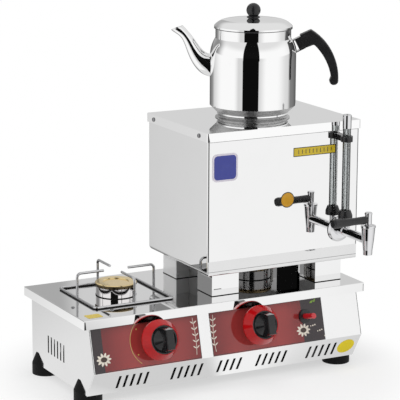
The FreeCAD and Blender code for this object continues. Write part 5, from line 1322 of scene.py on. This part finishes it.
@dataclass
class Boiler:
    """Square boiler with its lid, legs, badge place and level strip."""

    left: float = -33.2
    right: float = 273.6
    band: tuple[Pair, ...] = (
        (0.4, 201.2), (-0.5, 201.3), (-0.9, 202.2), (-1.0, 205.0), (-1.0, 221.0),
        (-0.85, 223.0), (-0.5, 224.8), (-0.1, 226.2), (0.4, 226.4))
    crease: Pair = (207.3, 208.0)
    lid_slit: tuple[Pair, ...] = (
        (-35.0, 440.0), (-30.8, 440.0), (-32.4, 447.0), (-33.6, 453.6), (-34.8, 453.6))
    legs: tuple[Step, ...] = (
        (-13.2, -51.9, 40.8, 2.1), (199.6, -51.9, 253.6, 2.1),
        (-13.2, 85.1, 40.8, 136.1), (199.6, 85.1, 253.6, 136.1))
    leg_shadow_ring: tuple[Pair, ...] = (
        (0.05, SHADOW_RING_FOOT), (0.35, SHADOW_RING_FOOT), (0.35, 158.2), (0.05, 158.2))
    collar_axis: Pair = (115.0, 35.6)
    collar: tuple[Pair, ...] = (
        (60.6, 463.4), (61.6, 463.2), (62.3, 462.3), (61.9, 461.2), (61.4, 460.2),
        (62.2, 459.0), (64.2, 458.0), (66.2, 457.3), (67.2, 456.4), (67.0, 455.6),
        (60.6, 455.5))
    lips: tuple[tuple[str, float, float], ...] = (("left", -35.7, -1.0), ("right", 276.1, 1.0))
    screws: tuple[Pair, ...] = ((-42.8, 447.0), (131.1, 447.0))
    screw_head: tuple[Pair, ...] = ((4.1, 0.05), (4.0, 0.9), (3.3, 1.9), (2.3, 2.4), (2.0, 1.0))
    edge_reflection_rise: Pair = (202.0, 439.4)
    edge_reflections_off: tuple[Pair, Pair] = ((0.9, 2.6), (-1.4, -0.6))
    lip_shadows: tuple[Step, ...] = ((2.0, 438.4, -1.0, 439.4), (3.0, 201.0, -2.0, 201.7))
    plaques: tuple[tuple[str, tuple[Pair, Pair, float], Print, float, float], ...] = (
        ("badge_rim", ((-25.0, 368.0), (25.5, 417.5), 9.0), Print.PALE, 0.05, 0.5),
        ("badge_field", ((-21.5, 371.5), (22.0, 414.0), 6.5), Print.BLUE, 0.5, 0.3),
        ("level_strip_rim", ((138.0, 398.6), (225.6, 415.0), 0.8), Print.BLACK, 0.05, 0.10),
        ("level_strip", ((139.4, 400.0), (224.2, 413.6), 0.5), Print.YELLOW, 0.12, 0.08))
    tick: Pair = (1.4, 0.3)
    tick_rise: Pair = (403.0, 410.6)
    tick_from: float = 148.0
    tick_pitch: float = 7.5
    disc_middle: Pair = (127.0, 322.5)
    discs: tuple[tuple[str, float, Print, float, float], ...] = (
        ("amber_disc_rim", 14.2, Print.BLACK, 0.05, 0.10),
        ("amber_disc", 12.6, Print.AMBER, 0.12, 0.08))

    def build(self) -> None:
        """Finish the boiler's solids and lay its stickers."""
        Steel.BOILER.cover("boiler_body")
        Steel.LID.cover("boiler_lid")
        Steel.MIRROR.cover("leg_front_left", "leg_front_right", "leg_rear_right")
        # painted light: the rear-left leg gets the pale lit copy of the leg steel
        Steel.LEG.cover("leg_rear_left")
        Steel.SCREW.cover("lid_screws")
        self.lay_films()
        self.make_band()
        self.lay_shade_lines()
        self.make_leg_foot_shadows()
        lathe("collar_flare", self.collar_axis, self.collar, Steel.COLLAR, Mount.STEEL)
        for side, x, out in self.lips:
            self.make_screw_heads(f"lid_screw_heads_{side}", x, out)

    def make_band(self) -> None:
        """Form the rolled band above the boiler's lower edge, with a painted shadow line in its
        crease.
        """
        shape, front = bmesh.new(), BOILER_FRONT.origin[1]
        ends = (self.left + 1.0, self.right - 1.0)
        bridge(shape, [ring(shape, [(x, front + out, z) for out, z in self.band]) for x in ends])
        mesh_piece("boiler_band", shape, Steel.BAND, Mount.STEEL)
        low, high = self.crease
        lay("band_crease_shadow", BAND_FRONT, [round_box((ends[0], low), (ends[1], high))],
            Print.SOFT_LINE, Mount.STEEL, LINE_LIFT, 0.04)

    def lay_shade_lines(self) -> None:
        """Draw painted shade and reflection: dark lines down the boiler's rounded front corners,
        shadow lines under the lid's lip and at the lower edge, and shade in the lid's corner gap.
        """
        low, high = self.edge_reflection_rise
        edges = [round_box((side + near, low), (side + far, high), 0.2)
                 for side, (near, far) in zip((self.left, self.right), self.edge_reflections_off)]
        under = [round_box((self.left + x0, z0), (self.right + x1, z1))
                 for x0, z0, x1, z1 in self.lip_shadows]
        for name, face, outlines, ink in (
                ("boiler_edge_dark_reflection", BOILER_FRONT, edges, Print.LINE),
                ("lid_lip_shadow", BOILER_FRONT, under, Print.SOFT_LINE),
                ("lid_corner_gap_shade", LID_LIP, [self.lid_slit], Print.BLACK)):
            lay(name, face, outlines, ink, Mount.STEEL, LINE_LIFT, INK_WALL)

    def make_leg_foot_shadows(self) -> None:
        """Run a thin dark ring of painted contact shadow round the foot of each leg."""
        shape = bmesh.new()
        for x0, y0, x1, y1 in self.legs:
            rings = [ring(shape, [(x0 - grow, y0 - grow, z), (x1 + grow, y0 - grow, z),
                                  (x1 + grow, y1 + grow, z), (x0 - grow, y1 + grow, z)])
                     for grow, z in self.leg_shadow_ring]
            bridge(shape, rings, around=True)
        mesh_piece("leg_foot_shadows", shape, Plastic.RUBBER_AND_SHADOW, Mount.SHADOW_RING, smooth=False)

    def make_screw_heads(self, name: str, x: float, out: float) -> None:
        """Set domed heads with a round recess over the screws of one side lip.

        Args:
            name: Name of the piece.
            x: Place of the lip.
            out: Direction away from the lid along X, 1 or -1.
        """
        shape, steps = bmesh.new(), 28
        for y, z in self.screws:
            bridge(shape, [
                ring(shape, [(x + out * height, y + radius * math.cos(math.tau * step / steps),
                              z + radius * math.sin(math.tau * step / steps))
                             for step in range(steps)]) for radius, height in self.screw_head])
        mesh_piece(name, shape, Steel.SCREW, Mount.FASTENER)

    def lay_films(self) -> None:
        """Lay the bare badge, the level strip with plain ticks and the amber disc."""
        for name, box, ink, lift, wall in self.plaques:
            lay(name, BOILER_FRONT, [round_box(*box)], ink, lift=lift, wall=wall)
        (width, corner), (low, high) = self.tick, self.tick_rise
        ticks = [round_box((x, low), (x + width, high), corner)
                 for x in (self.tick_from + self.tick_pitch * step for step in range(10))]
        lay("level_ticks", BOILER_FRONT, ticks, Print.BLACK, lift=0.18, wall=0.06)
        for name, radius, ink, lift, wall in self.discs:
            lay(name, BOILER_FRONT, [disc(self.disc_middle, radius)], ink, lift=lift, wall=wall)


@dataclass
class TapAndGauge:
    """Draw-off tap and the level gauge that stands on it."""

    gauge_axis: Pair = (235.0, -93.2)
    glass_span: Pair = (297.2, 445.8)
    dark_reflection_wall: Pair = (7.23, 7.32)
    dark_reflections: tuple[Pair, ...] = (
        (-180.0, 12.0), (-108.0, 6.0), (-52.0, 9.0), (20.0, 7.0), (90.0, 9.0))

    def build(self) -> None:
        """Finish the tap's and the gauge's solids."""
        Steel.CHROME.cover("tap_body", "tap_escutcheon", "tap_plug", "tap_crown", "gauge_cap")
        Plastic.BLACK.cover("tap_handle", "gauge_nut", "gauge_clamp")
        Plastic.RUBBER_AND_SHADOW.cover("tap_seals")
        Steel.BRASS.cover("tap_backnut")
        Glass.TUBE.cover("gauge_tube")
        self.make_dark_reflections()

    def make_dark_reflections(self) -> None:
        """Lay thin dark bands round the gauge glass: painted reflections of the dark surroundings.
        """
        shape, steps = bmesh.new(), 6
        inner, outer = self.dark_reflection_wall
        low, high = self.glass_span
        for middle, half in self.dark_reflections:
            rings = []
            for step in range(steps + 1):
                angle = math.radians(middle - half + 2.0 * half * step / steps)
                rings.append(ring(shape, [
                    (self.gauge_axis[0] + radius * math.cos(angle),
                     self.gauge_axis[1] + radius * math.sin(angle), z)
                    for radius, z in ((inner, low), (outer, low), (outer, high), (inner, high))]))
            bridge(shape, rings)
        mesh_piece("gauge_dark_reflections", shape, Print.BLACK, Mount.GAUGE)


@dataclass
class Teapot:
    """Round teapot with its spout, handle, cover and knob."""

    axis: Pair = (115.0, 35.6)
    rim: tuple[Pair, ...] = (
        (69.2, 616.45), (70.1, 616.5), (70.2, 617.1), (70.1, 617.7), (69.2, 617.6))
    handle_voxel: float = 0.001
    handle_rounds: int = 10

    def build(self) -> None:
        """Finish the teapot's solids, round its handle and darken the cover's rim."""
        Steel.TEAPOT.cover("teapot_body", "teapot_spout", "teapot_lid", "handle_bracket")
        Plastic.BLACK.cover("lid_knob")
        softened("rounded_handle", "teapot_handle", Plastic.BLACK, Mount.HANDLE,
                 self.handle_voxel, self.handle_rounds)
        lathe("cover_rim_shadow", self.axis, self.rim, Print.LINE, Mount.COVER)


def main() -> None:
    """Build the studio and dress every sub-assembly in order."""
    bpy.context.scene.view_settings.view_transform = "Standard"
    for part in (Studio(), StoveBase(), Burners(), Controls(), Boiler(), TapAndGauge(), Teapot()):
        log.info("building %s", type(part).__name__)
        part.build()


if __name__ == "__main__":
    main()
